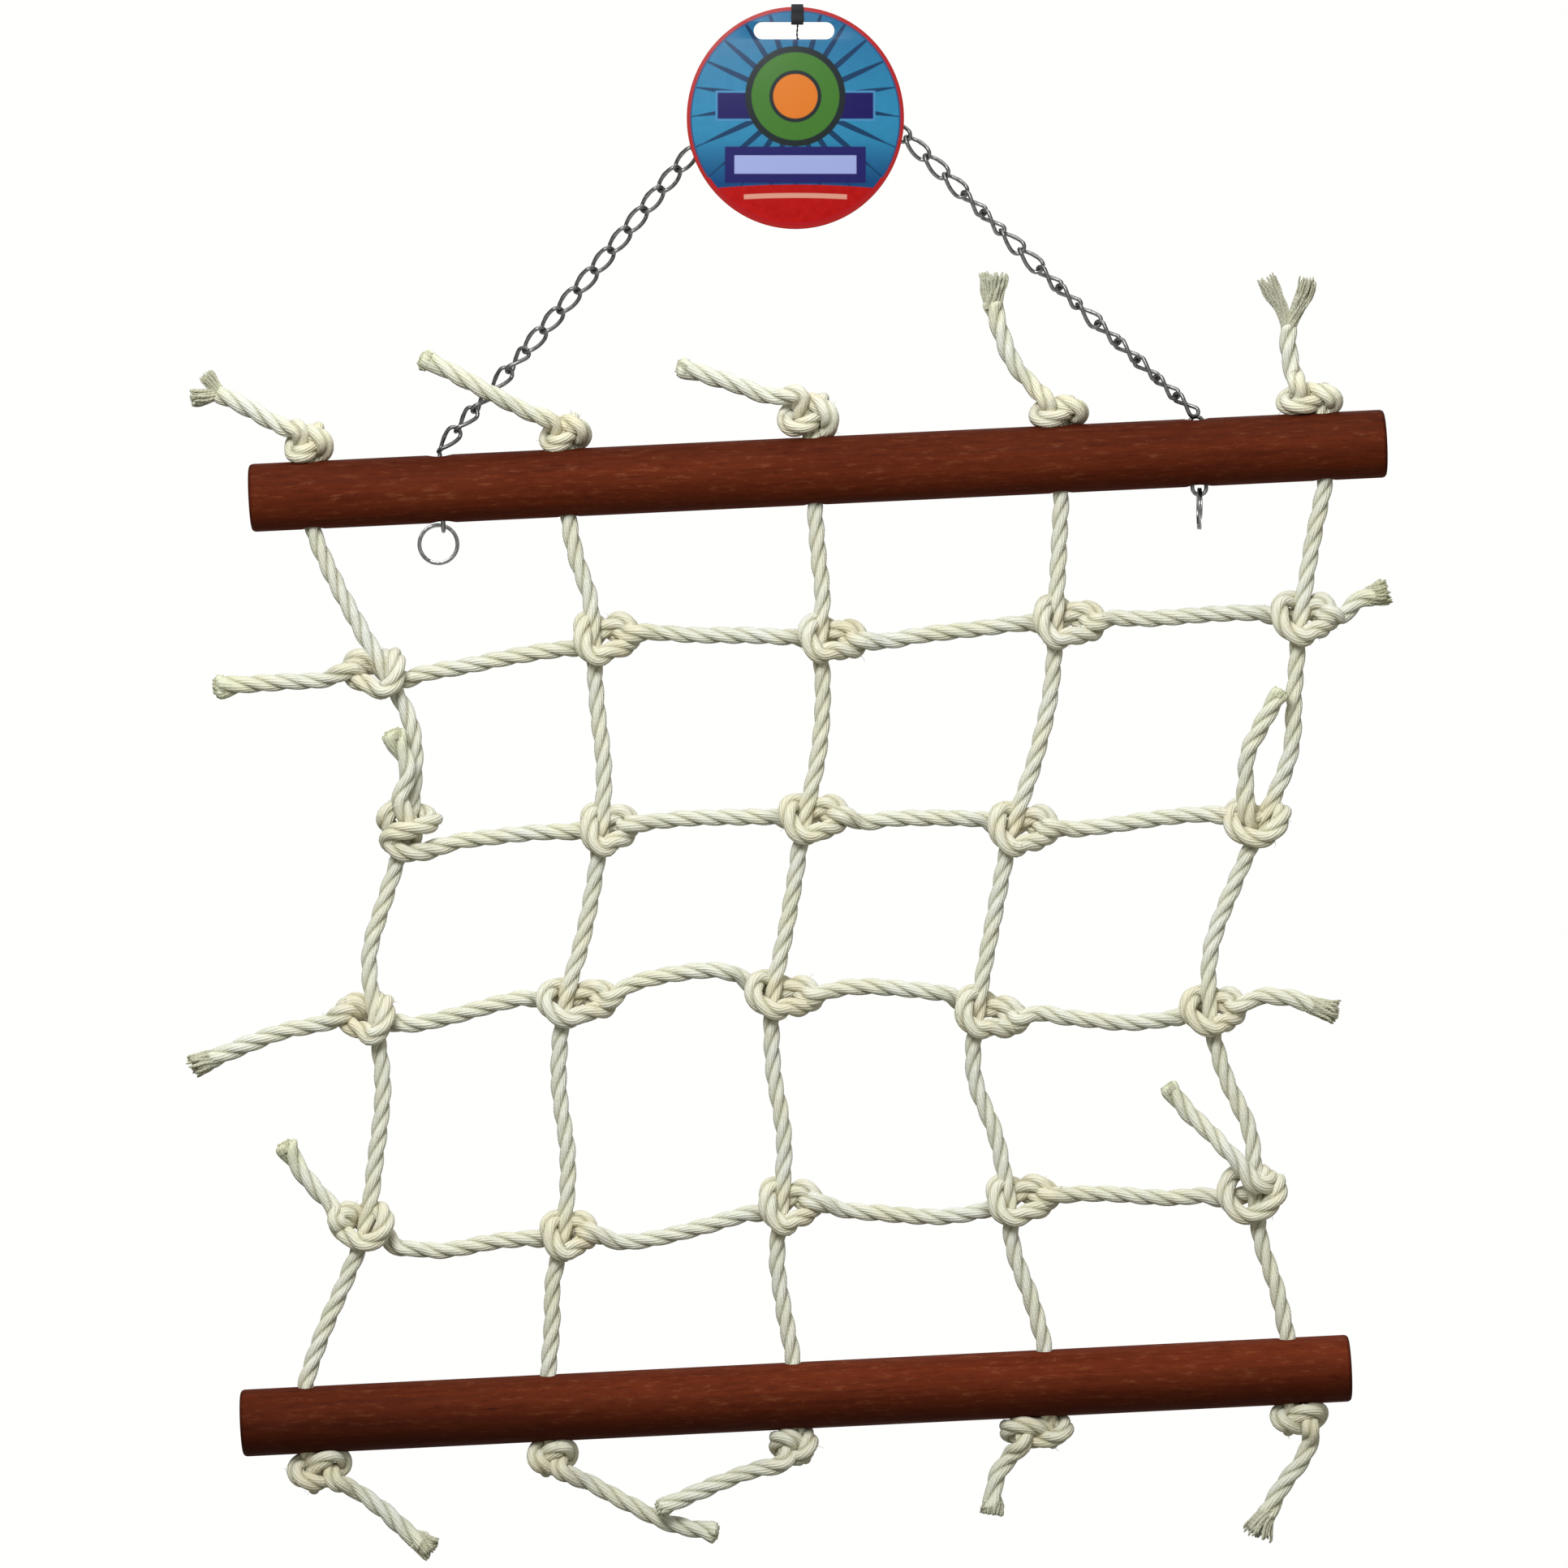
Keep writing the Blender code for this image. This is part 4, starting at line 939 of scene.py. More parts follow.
# ---- chain -------------------------------------------------------------------------
def link_data(length, width, wire, twist_deg, sides=14, arc=12, side_steps=7):
    """One welded oval link, its two ends twisted against each other about its
    long axis (Z), lying in the XZ plane at its middle."""
    r = (width - wire) / 2
    straight = (length - width) / 2
    pts = []
    for i in range(arc + 1):
        a = math.pi * i / arc
        pts.append(Vector((math.cos(a) * r, 0, straight + math.sin(a) * r)))
    for i in range(1, side_steps):
        pts.append(Vector((-r, 0, straight - 2 * straight * i / side_steps)))
    for i in range(arc + 1):
        a = math.pi + math.pi * i / arc
        pts.append(Vector((math.cos(a) * r, 0, -straight + math.sin(a) * r)))
    for i in range(1, side_steps):
        pts.append(Vector((r, 0, -straight + 2 * straight * i / side_steps)))
    n = len(pts)
    half_twist = math.radians(twist_deg) / 2
    reach = length / 2
    turned = []
    for p in pts:
        f = max(-1.0, min(1.0, p.z / (reach * 0.62)))
        turned.append(Matrix.Rotation(half_twist * f, 3, 'Z') @ p)
    rows = []
    prev = None
    for i, p in enumerate(turned):
        t = (turned[(i + 1) % n] - turned[i - 1]).normalized()
        out = p - Vector((0, 0, p.z)) * 1.0
        ref = Vector((p.x, p.y, (p.z - math.copysign(straight, p.z)) if abs(p.z) > straight else 0.0))
        ref = (ref - t * ref.dot(t)).normalized()
        side = t.cross(ref)
        weld = 1.0
        if r and abs(p.z) < straight * 0.22 and p.x > 0:
            weld = 1.10                                # the weld's small swelling
        row = []
        for k in range(sides):
            a = 2 * math.pi * k / sides
            row.append(p + (ref * math.cos(a) + side * math.sin(a)) * (wire / 2 * weld))
        rows.append(row)
    verts = [q for row in rows for q in row]
    faces = []
    for i in range(n):
        a, b = i * sides, ((i + 1) % n) * sides
        for k in range(sides):
            kk = (k + 1) % sides
            faces.append((a + k, b + k, b + kk, a + kk))
    return verts, faces


def mesh_piece(name, chunks, mat, body, sharp=40):
    verts, faces, base = [], [], 0
    for vv, ff in chunks:
        verts += [tuple(q * MM) for q in vv]
        faces += [tuple(i + base for i in f) for f in ff]
        base += len(vv)
    mesh = bpy.data.meshes.new(name)
    mesh.from_pydata(verts, [], faces)
    bm = bmesh.new()
    bm.from_mesh(mesh)
    bmesh.ops.recalc_face_normals(bm, faces=bm.faces)
    bm.to_mesh(mesh)
    bm.free()
    mesh.materials.append(mat)
    mesh.shade_smooth()
    mesh.set_sharp_from_angle(angle=math.radians(sharp))
    obj = bpy.data.objects.new(name, mesh)
    scene.collection.objects.link(obj)
    if body:
        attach(obj, body)
    return obj


def oriented(centre, direction, spin):
    z = direction.normalized()
    y = Vector((0, 1, 0))
    x = y.cross(z).normalized()
    y = z.cross(x)
    m = Matrix((x, y, z)).transposed().to_4x4()
    return Matrix.Translation(centre) @ m @ Matrix.Rotation(spin, 4, 'Z')


def link_chunk(centre, direction, spin, length, twist=88.0, wire=LINK_WIRE, width=LINK_W):
    vv, ff = link_data(length, width, wire, twist)
    m = oriented(centre, direction, spin)
    return [m @ q for q in vv], ff


# the way each side's flat face turns from the top link down to the bar, degrees
SPIN_LEFT = ((0.0, 62.0), (0.06, 40.0), (0.15, 12.0), (0.35, -4.0), (0.6, 6.0), (0.72, 12.0), (0.775, 66.0), (0.825, 38.0), (0.875, 70.0), (0.925, 52.0), (1.0, 36.0))
SPIN_RIGHT = ((0.0, 62.0), (0.03, 64.0), (0.20, 146.0), (0.30, 166.0), (0.375, 156.0), (0.43, 104.0), (0.475, 98.0), (0.525, 142.0), (0.575, 152.0), (0.63, 106.0),
              (0.675, 96.0), (0.725, 128.0), (0.775, 98.0), (0.85, 82.0), (0.93, 100.0), (1.0, 98.0))


def along_table(table, f):
    for (a, x), (b, y) in zip(table, table[1:]):
        if f <= b:
            k = (f - a) / (b - a)
            k = k * k * (3 - 2 * k)
            return x + (y - x) * k
    return table[-1][1]


def chain_side(name, route, hole_x, spins, body):
    end = bar_point(TOP_BAR, hole_x, ROLL_Z - (TOP_BAR['z'] - TOP_BAR['x'] * SLOPE))
    path = smooth_path([v(x, z) for x, z in route] + [end], 1.0)
    total = sum((b - a).length for a, b in zip(path, path[1:]))
    pitch = total / RUN_LINKS
    chunks = []
    for i in range(RUN_LINKS):
        a, _ = at_length(path, max(0.0, i * pitch))
        b, _ = at_length(path, (i + 1) * pitch)
        centre = (a + b) / 2
        jig = noise.noise(Vector((i * 0.9, hole_x, 3.0))) * 9.0
        spin = math.radians(along_table(spins, (i + 0.5) / RUN_LINKS) + jig)
        chunks.append(link_chunk(centre, b - a, spin, pitch + 2 * LINK_WIRE - 0.05))
    return mesh_piece(name, chunks, STEEL, body), path


left_chain, left_path = chain_side("left_chain_links", CHAIN_LEFT, CHAIN_HOLES_X[0], SPIN_LEFT, "chain_hanger")
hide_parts("left_chain_run")
right_chain, right_path = chain_side("right_chain_links", CHAIN_RIGHT, CHAIN_HOLES_X[1], SPIN_RIGHT, "chain_hanger")
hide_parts("right_chain_run")

top_link = mesh_piece("top_chain_link", [link_chunk(v(0, -(LINK_W - LINK_WIRE) / 2), Vector((1, 0, 0)), 0.0, LINK_PITCH + 2 * LINK_WIRE, 0.0)],
                      STEEL, "hook_link")
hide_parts("apex_link")

WIRE_T = -(BAR_D / 2 + GAP + RING_WIRE / 2)
for side, hole_x, first_spin in (("left", CHAIN_HOLES_X[0], 90.0), ("right", CHAIN_HOLES_X[1], 0.0)):
    low = WIRE_T - RING_WIRE / 2 - GAP - LINK_WIRE
    length = LINK_PITCH + 2 * LINK_WIRE + GAP
    chunks = []
    for k in range(3):
        bottom = low + k * LINK_PITCH
        top = bottom + length
        if k == 2:
            top = BAR_D / 2 + 1.35
        chunks.append(link_chunk(bar_point(TOP_BAR, hole_x, (top + bottom) / 2), UPWARD, math.radians(first_spin + 90.0 * k), top - bottom, 0.0))
    bore_links = mesh_piece(side + "_links_in_bore", chunks, STEEL, "upper_bar")
    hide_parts(*[side + "_bore_link_%d" % k for k in (1, 2, 3)])


def split_ring(name, centre, normal, body, start_deg):
    """Two wound turns of flat wire."""
    r_mid, wide, thick = (RING_OD - 1.45) / 2, 1.45, 0.72
    n_vec = normal.normalized()
    e1 = Vector((0, 0, 1))
    e2 = n_vec.cross(e1).normalized()
    section = []
    for k in range(16):
        a = 2 * math.pi * k / 16
        c, s = math.cos(a), math.sin(a)
        section.append((math.copysign(abs(c) ** 0.6, c) * wide / 2, math.copysign(abs(s) ** 0.6, s) * thick / 2))
    steps = 150
    verts, faces = [], []
    for i in range(steps + 1):
        f = i / steps
        a = math.radians(start_deg) + 2 * math.pi * 1.93 * f
        # stays flat on each turn and steps over at the crossing
        g = (f * 1.93)
        lift = (min(max((g - 0.86) / 0.22, 0.0), 1.0))
        lift = lift * lift * (3 - 2 * lift)
        off = (lift - 0.5) * (thick + 0.05)
        radial = e1 * math.cos(a) + e2 * math.sin(a)
        taper = min(1.0, 0.25 + min(f, 1 - f) * 40)
        for (x, y) in section:
            verts.append(centre + radial * (r_mid + x * taper) + n_vec * (off + y * taper))
    m = len(section)
    for i in range(steps):
        for k in range(m):
            kk = (k + 1) % m
            faces.append((i * m + k, (i + 1) * m + k, (i + 1) * m + kk, i * m + kk))
    faces.append(tuple(range(m)))
    faces.append(tuple(steps * m + k for k in reversed(range(m))))
    return mesh_piece(name, [(verts, faces)], RING_STEEL, body, 50)


drop = v(0, (RING_OD - RING_WIRE) / 2)
side_drop = Matrix.Rotation(math.radians(15.0), 4, 'Y') @ drop      # the left ring lies a little to one side
left_ring = split_ring("left_ring_wound", bar_point(TOP_BAR, CHAIN_HOLES_X[0], WIRE_T) - side_drop, Vector((0, 1, 0)), "left_ring", 200.0)
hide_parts("left_split_ring")
right_ring = split_ring("right_ring_wound", bar_point(TOP_BAR, CHAIN_HOLES_X[1], WIRE_T) - drop, Vector((1, 0, 0)), "right_ring", 150.0)
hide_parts("right_split_ring")


# ---- tag and tie -------------------------------------------------------------------
def tag():
    """A die-cut card: bevelled edge ring, slot, printed front, plain back."""
    n_rim, r_slot, half = 160, SLOT_H / 2, (SLOT_W - SLOT_H) / 2
    rim = [(TAG_C[0] + math.cos(2 * math.pi * i / n_rim) * TAG_W / 2, TAG_C[1] + math.sin(2 * math.pi * i / n_rim) * TAG_H / 2) for i in range(n_rim)]
    slot = []
    for side in (1, -1):
        for i in range(15):
            a = -math.pi / 2 + math.pi * i / 14
            slot.append((SLOT_C[0] + side * (half + math.cos(a) * r_slot), SLOT_C[1] + side * math.sin(a) * r_slot))
    data = bpy.data.curves.new("card", 'CURVE')
    data.dimensions = '2D'
    data.fill_mode = 'BOTH'
    data.extrude = (TAG_T / 2 - 0.10) * MM
    data.bevel_depth = 0.10 * MM
    data.bevel_resolution = 2
    data.offset = -0.10 * MM
    for outline in (rim, slot):
        line = data.splines.new('POLY')
        line.points.add(len(outline) - 1)
        for p, q in zip(line.points, outline):
            p.co = (q[0] * MM, q[1] * MM, 0, 1)
        line.use_cyclic_u = True
    tmp = bpy.data.objects.new("card", data)
    scene.collection.objects.link(tmp)
    bpy.context.view_layer.update()
    mesh = bpy.data.meshes.new_from_object(tmp.evaluated_get(bpy.context.evaluated_depsgraph_get()))
    bpy.data.objects.remove(tmp, do_unlink=True)
    bm = bmesh.new()
    bm.from_mesh(mesh)
    bmesh.ops.remove_doubles(bm, verts=bm.verts, dist=0.000004)
    # stand the card upright, its faces either side of TAG_Y
    for vert in bm.verts:
        x, z, y = vert.co.x / MM, vert.co.y / MM, -vert.co.z / MM
        vert.co = Vector((x, TAG_Y + y, z)) * MM
    bmesh.ops.recalc_face_normals(bm, faces=bm.faces)
    bm.to_mesh(mesh)
    bm.free()
    layer = mesh.uv_layers.new(name="card")
    back = mesh.attributes.new("card_back", 'FLOAT', 'FACE')
    values = []
    for p in mesh.polygons:
        values.append(1.0 if p.normal.y > -0.5 else 0.0)
        for li in p.loop_indices:
            co = mesh.vertices[mesh.loops[li].vertex_index].co / MM
            layer.data[li].uv = (0.5 + (co.x - TAG_C[0]) / 100, 0.5 + (co.z - TAG_C[1]) / 100)
    back.data.foreach_set("value", values)
    mesh.materials.clear()
    mesh.materials.append(CARD)
    mesh.shade_smooth()
    mesh.set_sharp_from_angle(angle=math.radians(30))
    obj = bpy.data.objects.new("round_card_tag", mesh)
    scene.collection.objects.link(obj)
    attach(obj, "tag")
    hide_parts("hang_tag")
    return obj


tag()


def ribbon(points, widths, thick, rounding=0.35):
    """A flat strip through points; width runs along X."""
    p, t, n, b, s = frames(points)
    verts, faces = [], []
    m = 12
    for i in range(len(p)):
        tt = Vector(t[i])
        wide = Vector((1, 0, 0))
        wide = (wide - tt * wide.dot(tt)).normalized()
        up = tt.cross(wide)
        for k in range(m):
            a = 2 * math.pi * (k + 0.5) / m
            c, q = math.cos(a), math.sin(a)
            verts.append(Vector(p[i]) + wide * math.copysign(abs(c) ** rounding, c) * widths[i] / 2
                         + up * math.copysign(abs(q) ** rounding, q) * thick / 2)
    for i in range(len(p) - 1):
        for k in range(m):
            kk = (k + 1) % m
            faces.append((i * m + k, (i + 1) * m + k, (i + 1) * m + kk, i * m + kk))
    faces.append(tuple(range(m)))
    faces.append(tuple((len(p) - 1) * m + k for k in reversed(range(m))))
    return verts, faces


strip_low, strip_high = SLOT_C[1] + SLOT_H / 2, TAG_C[1] + TAG_H / 2
y_front, y_back = TAG_Y - TAG_T / 2, TAG_Y + TAG_T / 2
loop_pts = [Vector((TIE_X, y_back + 0.75, strip_low + 2.2)), Vector((TIE_X, y_back + 0.70, strip_high - 0.4)),
            Vector((TIE_X, TAG_Y + 0.1, strip_high + 0.75)), Vector((TIE_X, y_front - 0.65, strip_high - 0.5)),
            Vector((TIE_X, y_front - 0.60, (strip_low + strip_high) / 2)), Vector((TIE_X, y_front - 0.62, strip_low + 0.3)),
            Vector((TIE_X, TAG_Y, strip_low - 0.75)), Vector((TIE_X, y_back + 0.85, strip_low + 0.4)),
            Vector((TIE_X, y_back + 1.2, strip_low + 1.6))]
path = smooth_path(loop_pts, 0.35)
wide = [4.5 + 0.25 * noise.noise(Vector((i * 0.2, 0, 1))) for i in range(len(path))]
band = ribbon(path, wide, 0.55)
stem_pts = smooth_path([Vector((TIE_X, y_back + 1.1, strip_low + 2.2)), Vector((TIE_X + 0.1, y_back + 1.3, strip_low - 1.2)),
                        Vector((TIE_X - 0.1, -2.6, 3.4)), Vector((TIE_X, -1.75, 1.5))], 0.3)
loop_ring = []
for i in range(41):
    a = 2 * math.pi * i / 40
    loop_ring.append(Vector((TIE_X + 0.3 * math.sin(a * 0.5), -1.55 * math.cos(a), 1.62 * math.sin(a))))
stems = []
for off, turn in ((0.17, 0.0), (0.17, math.pi)):
    tw = [q + Vector((math.cos(turn + i * 0.55) * off, math.sin(turn + i * 0.55) * off * 0.6, 0)) for i, q in enumerate(stem_pts)]
    stems.append(ribbon(tw, [0.34] * len(tw), 0.34, 0.8))
stems.append(ribbon(loop_ring[:-1] + [loop_ring[-1]], [1.0] * len(loop_ring), 0.7, 0.8))
tie = mesh_piece("twisted_tie", [band] + stems, TIE, "tag", 50)
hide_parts("tag_tie")


# ---- knots ---------------------------------------------------------------------------
# An overhand knot of the cross rope round an upright that stands at x = y = 0:
# behind the upright, out along the top of an eye, back along its foot, up in
# front of the upright, over behind it again and out through the eye.
KNOT_PATH = (
    (-7.0, 3.0, -2.0), (-2.0, 5.2, -1.0), (3.0, 4.8, 2.2), (7.0, 2.4, 5.6), (11.0, 0.8, 6.9),
    (14.8, 1.4, 5.0), (16.4, 2.6, 1.6), (14.6, 1.0, -1.6), (11.0, -2.0, -3.4), (6.2, -4.4, -4.6),
    (1.8, -6.0, -6.8), (-2.4, -5.8, -4.4), (-4.2, -4.8, 0.4), (-4.2, -2.6, 5.0), (-2.6, 1.8, 7.0),
    (0.8, 6.2, 6.6), (4.8, 8.0, 4.4), (8.8, 5.6, 2.6), (12.4, 1.0, 2.0), (16.2, -3.2, 2.2),
)
# how far the eye and the front band stand from the upright, how tall the knot
# is, how it is rolled, and whether the eye is on the left
KNOT_STYLE = {
    (0, 0): dict(mirror=True, eye=16.8, band=7.4, tall=0.92),
    (0, 1): dict(eye=18.0, band=7.3, lift=0.6),
    (0, 2): dict(eye=17.8, band=8.0, tall=0.82, roll=-10),
    (0, 3): dict(eye=19.0, band=8.5, tall=0.95, roll=-8),
    (0, 4): dict(eye=14.5, band=11.0),
    (1, 1): dict(eye=14.0, band=7.5),
    (1, 2): dict(eye=17.5, band=9.0, tall=0.90),
    (1, 3): dict(eye=17.5, band=9.0, roll=-6),
    (2, 0): dict(mirror=True, eye=15.0, band=7.4, tall=0.92),
    (2, 1): dict(eye=20.5, band=10.0, tall=0.82),
    (2, 2): dict(eye=18.6, band=10.5, tall=0.80, roll=-8),
    (2, 3): dict(eye=19.5, band=8.5, tall=0.86, roll=-18),
    (2, 4): dict(eye=14.0, band=11.0, tall=0.90),
    (3, 0): dict(mirror=True, eye=13.7, band=10.2, tall=0.90, heel=-8.5),
    (3, 1): dict(eye=13.0, band=8.0, tall=0.88),
    (3, 2): dict(eye=16.0, band=8.0),
    (3, 3): dict(eye=18.8, band=8.0, tall=0.95),
}
# knots whose free end comes out beside the upright
KNOT_TAIL_UP_LEFT = (
    (0.4, -5.6, 6.0), (2.4, -3.6, 1.0), (2.6, 2.0, -2.6), (-2.4, 4.6, -1.6), (-7.0, 1.6, 2.4),
    (-7.4, -0.6, 6.8), (-3.4, 2.4, 9.4), (2.0, 5.2, 8.4), (7.6, 3.0, 6.2), (10.0, -1.6, 4.2), (6.0, -6.4, 2.0),
    (0.4, -8.4, 0.6), (-5.0, -6.2, -0.8), (-6.4, -3.4, -4.0), (-1.5, -5.0, -7.2), (4.6, -4.6, -7.6), (9.6, -1.6, -6.2),
)
KNOT_TAIL_UP_RIGHT = (
    (-12.0, 0.5, 2.2), (-7.0, 2.8, 2.6), (-1.5, 5.4, 2.6), (4.0, 3.6, 3.6), (7.0, -0.6, 3.2), (5.6, -4.6, -1.6),
    (0.6, -6.2, -5.8), (-6.0, -5.4, -5.6), (-10.8, -2.6, -1.8), (-11.0, 1.2, 3.6), (-6.4, 4.0, 6.0), (-2.8, 1.0, 2.0),
    (-4.6, -2.6, -0.4), (-6.6, -4.2, 4.6),
)
KNOT_TAIL_ACROSS = (
    (-11.5, 2.0, -2.6), (-5.5, 4.2, -1.6), (0.0, 5.6, -0.6), (5.2, 4.0, 2.2), (8.0, -0.2, 3.2), (7.4, -4.0, -1.6),
    (3.2, -5.6, -6.4), (-3.0, -5.4, -8.6), (-8.6, -4.0, -6.2), (-11.4, -1.8, -0.4), (-9.8, 1.0, 4.6), (-5.2, 4.6, 6.8),
    (0.6, 5.4, 6.4), (4.4, 1.0, 5.8), (3.2, -4.8, 2.6), (-1.2, -7.0, 3.4),
)
# height of the cross rope where it meets and where it leaves each knot
LEADS = (
    ((None, 0.0), (-3.0, 3.2), (0.5, -1.0), (-0.5, 1.5), (2.5, None)),
    ((None, -3.5), (-0.5, 3.5), (1.0, -1.0), (3.8, 0.0), (2.5, None)),
    ((None, -2.0), (2.0, 6.6), (8.5, 2.0), (7.0, -0.5), (-3.0, None)),
    ((None, -8.0), (-1.0, -2.0), (-3.0, -1.0), (-4.0, 2.6), (-1.4, None)),
)


def crossing_knot(r, c):
    """World points of one crossing knot, from left to right."""
    x0, z0 = CROSSINGS[c][r]
    special = {(1, 0): KNOT_TAIL_UP_LEFT, (1, 4): KNOT_TAIL_UP_RIGHT, (3, 4): KNOT_TAIL_ACROSS}.get((r, c))
    style = KNOT_STYLE.get((r, c), {})
    mirror = style.get('mirror', False)
    out = []
    for x, y, z in special or KNOT_PATH:
        q = Vector((x, y, z))
        if not special:
            if x < 0 and y > 2.9:
                q.z += max(0.0, style['band'] - 8.0) * 0.75
            if abs(x + 7.0) < 0.1:
                q.z += style.get('heel', 0.0)
            q.x *= (style['eye'] - 3.2) / 16.4 if x > 0 else (style['band'] - 3.2) / 4.2
            q.z = q.z * style.get('tall', 1.0) + style.get('lift', 0.0)
            a = math.radians(style.get('roll', 0.0))
            q = Vector((q.x * math.cos(a) - q.z * math.sin(a), q.y, q.x * math.sin(a) + q.z * math.cos(a)))
            if mirror:
                q.x = -q.x
        j = noise.noise_vector(Vector((q.x * 0.21 + r * 3.1, q.y * 0.21 + c * 5.7, q.z * 0.21)))
        q += Vector((j.x, 0.0, j.z)) * 0.6
        out.append(v(x0, z0) + q)
    if mirror:
        out.reverse()
    z_in, z_out = LEADS[r][c]
    kx, kz = KNOTS[r][c]
    if z_in is not None and not special:
        out[0].z = kz + z_in * 0.8 if not mirror else out[0].z
    if z_in is not None:
        out.insert(0, Vector((min(kx - 18.0, out[0].x - 4.0), 0.2, kz + z_in)))
    if z_out is not None:
        out.append(Vector((max(kx + 18.0, out[-1].x + 4.0), 0.2, kz + z_out)))
    return out


def cross_points(r):
    pts = list(reversed(cut_back(CROSS_TAIL_LEFT[r], TAIL_END[('l', r)].get('cut', 0.0))))
    marks = [pts[-1].copy()]
    for c in range(5):
        pts += crossing_knot(r, c)
        if c < 4:
            a, b = v(*KNOTS[r][c]), v(*KNOTS[r][c + 1])
            for f, bow in zip((0.36, 0.64), CROSS_BOW[r][c]):
                pts.append(a.lerp(b, f) + Vector((0, 0, bow)))
    marks.append(Vector(CROSS_TAIL_RIGHT[r][0]))
    pts += cut_back(CROSS_TAIL_RIGHT[r], TAIL_END[('r', r)].get('cut', 0.0))
    return pts, marks


def upright_points(c):
    start = bar_point(TOP_BAR, HOLES_TOP[c], -BAR_D / 2)
    finish = bar_point(BOTTOM_BAR, HOLES_BOTTOM[c], BAR_D / 2)
    stations = [start] + [v(x, z) for x, z in CROSSINGS[c]] + [finish]
    pts = [bar_point(TOP_BAR, HOLES_TOP[c], -BAR_D / 2 + 4.0), start]
    for (a, b), bows in zip(zip(stations, stations[1:]), UPRIGHT_BOW[c]):
        for f, bow in zip((1 / 3, 2 / 3), bows):
            pts.append(a.lerp(b, f) + Vector((bow, 0, 0)))
        pts.append(b)
    pts.append(bar_point(BOTTOM_BAR, HOLES_BOTTOM[c], BAR_D / 2 - 4.0))
    return pts


def trefoil(t):
    return Vector((math.sin(t) + 2 * math.sin(2 * t), -math.sin(3 * t), math.cos(t) - 2 * math.cos(2 * t)))


def stopper_points(bar, hole_x, spec, up, style):
    """From the bar's face through an overhand knot to the start of its tail."""
    sign = 1.0 if up else -1.0
    half = spec['half']
    heart = bar_point(bar, spec['x'], sign * (BAR_D / 2 + half[2] - 0.9))
    tail_dir = (Vector(spec['tail'][0]) - heart)
    mirror = -1.0 if tail_dir.x > 0 else 1.0
    grow = style.get('tall', 1.0)
    heart += UPWARD * sign * half[2] * (grow - 1.0) * 0.9 + ALONG * style.get('aside', 0.0)
    sx = (half[0] * style.get('wide', 1.0) - 3.1) / 2.75
    sy = (half[1] - 4.4) / 1.0
    sz = (half[2] * grow + 1.0 - 3.1) / 2.45
    cut = style.get('cut', 0.62)
    pts = []
    steps = 13
    spin = math.radians(style.get('spin', 0.0))
    tilt = math.radians(style.get('tilt', 0.0))
    for i in range(steps + 1):
        t = math.pi + cut + (2 * math.pi - 2 * cut) * i / steps
        q = trefoil(t)
        q.z = -q.z                                   # the cut lobe on the side away from the bar
        q = Vector((q.x * math.cos(spin) - q.z * math.sin(spin), q.y, q.x * math.sin(spin) + q.z * math.cos(spin)))
        q = Vector((q.x * mirror * sx, q.y * sy, q.z * sz * sign))
        q = Vector((q.x, q.y * math.cos(tilt) - q.z * math.sin(tilt), q.y * math.sin(tilt) + q.z * math.cos(tilt)))
        q = Vector((q.x * math.cos(math.radians(LEAN_DEG)) - q.z * math.sin(math.radians(LEAN_DEG)), q.y,
                    q.x * math.sin(math.radians(LEAN_DEG)) + q.z * math.cos(math.radians(LEAN_DEG))))
        pts.append(heart + q)
    # from the bore, behind the knot, to where the knot's turns begin
    lead = [bar_point(bar, hole_x, sign * (BAR_D / 2 - 2.0)), bar_point(bar, hole_x, sign * (BAR_D / 2 + 2.2), 1.8)]
    first = pts[0]
    lead.append(Vector(((lead[-1].x * 0.4 + first.x * 0.6), 5.4, (lead[-1].z + first.z) / 2)))
    return lead + pts, heart


class Part:
    pass


STOP_STYLE = {
    ('t', 0): dict(tall=1.22, wide=0.96),
    ('t', 1): dict(tall=1.18, spin=8),
    ('t', 2): dict(tall=1.24, wide=1.04, spin=-10),
    ('t', 3): dict(tall=0.98, wide=1.06),
    ('t', 4): dict(wide=1.05, spin=-6),
    ('b', 0): dict(tall=1.24, wide=1.22, aside=-2.2, spin=14),
    ('b', 1): dict(tall=1.12),
    ('b', 2): dict(tall=1.14, wide=0.94),
    ('b', 3): dict(tall=1.00, wide=1.38),
    ('b', 4): dict(wide=1.04),
}
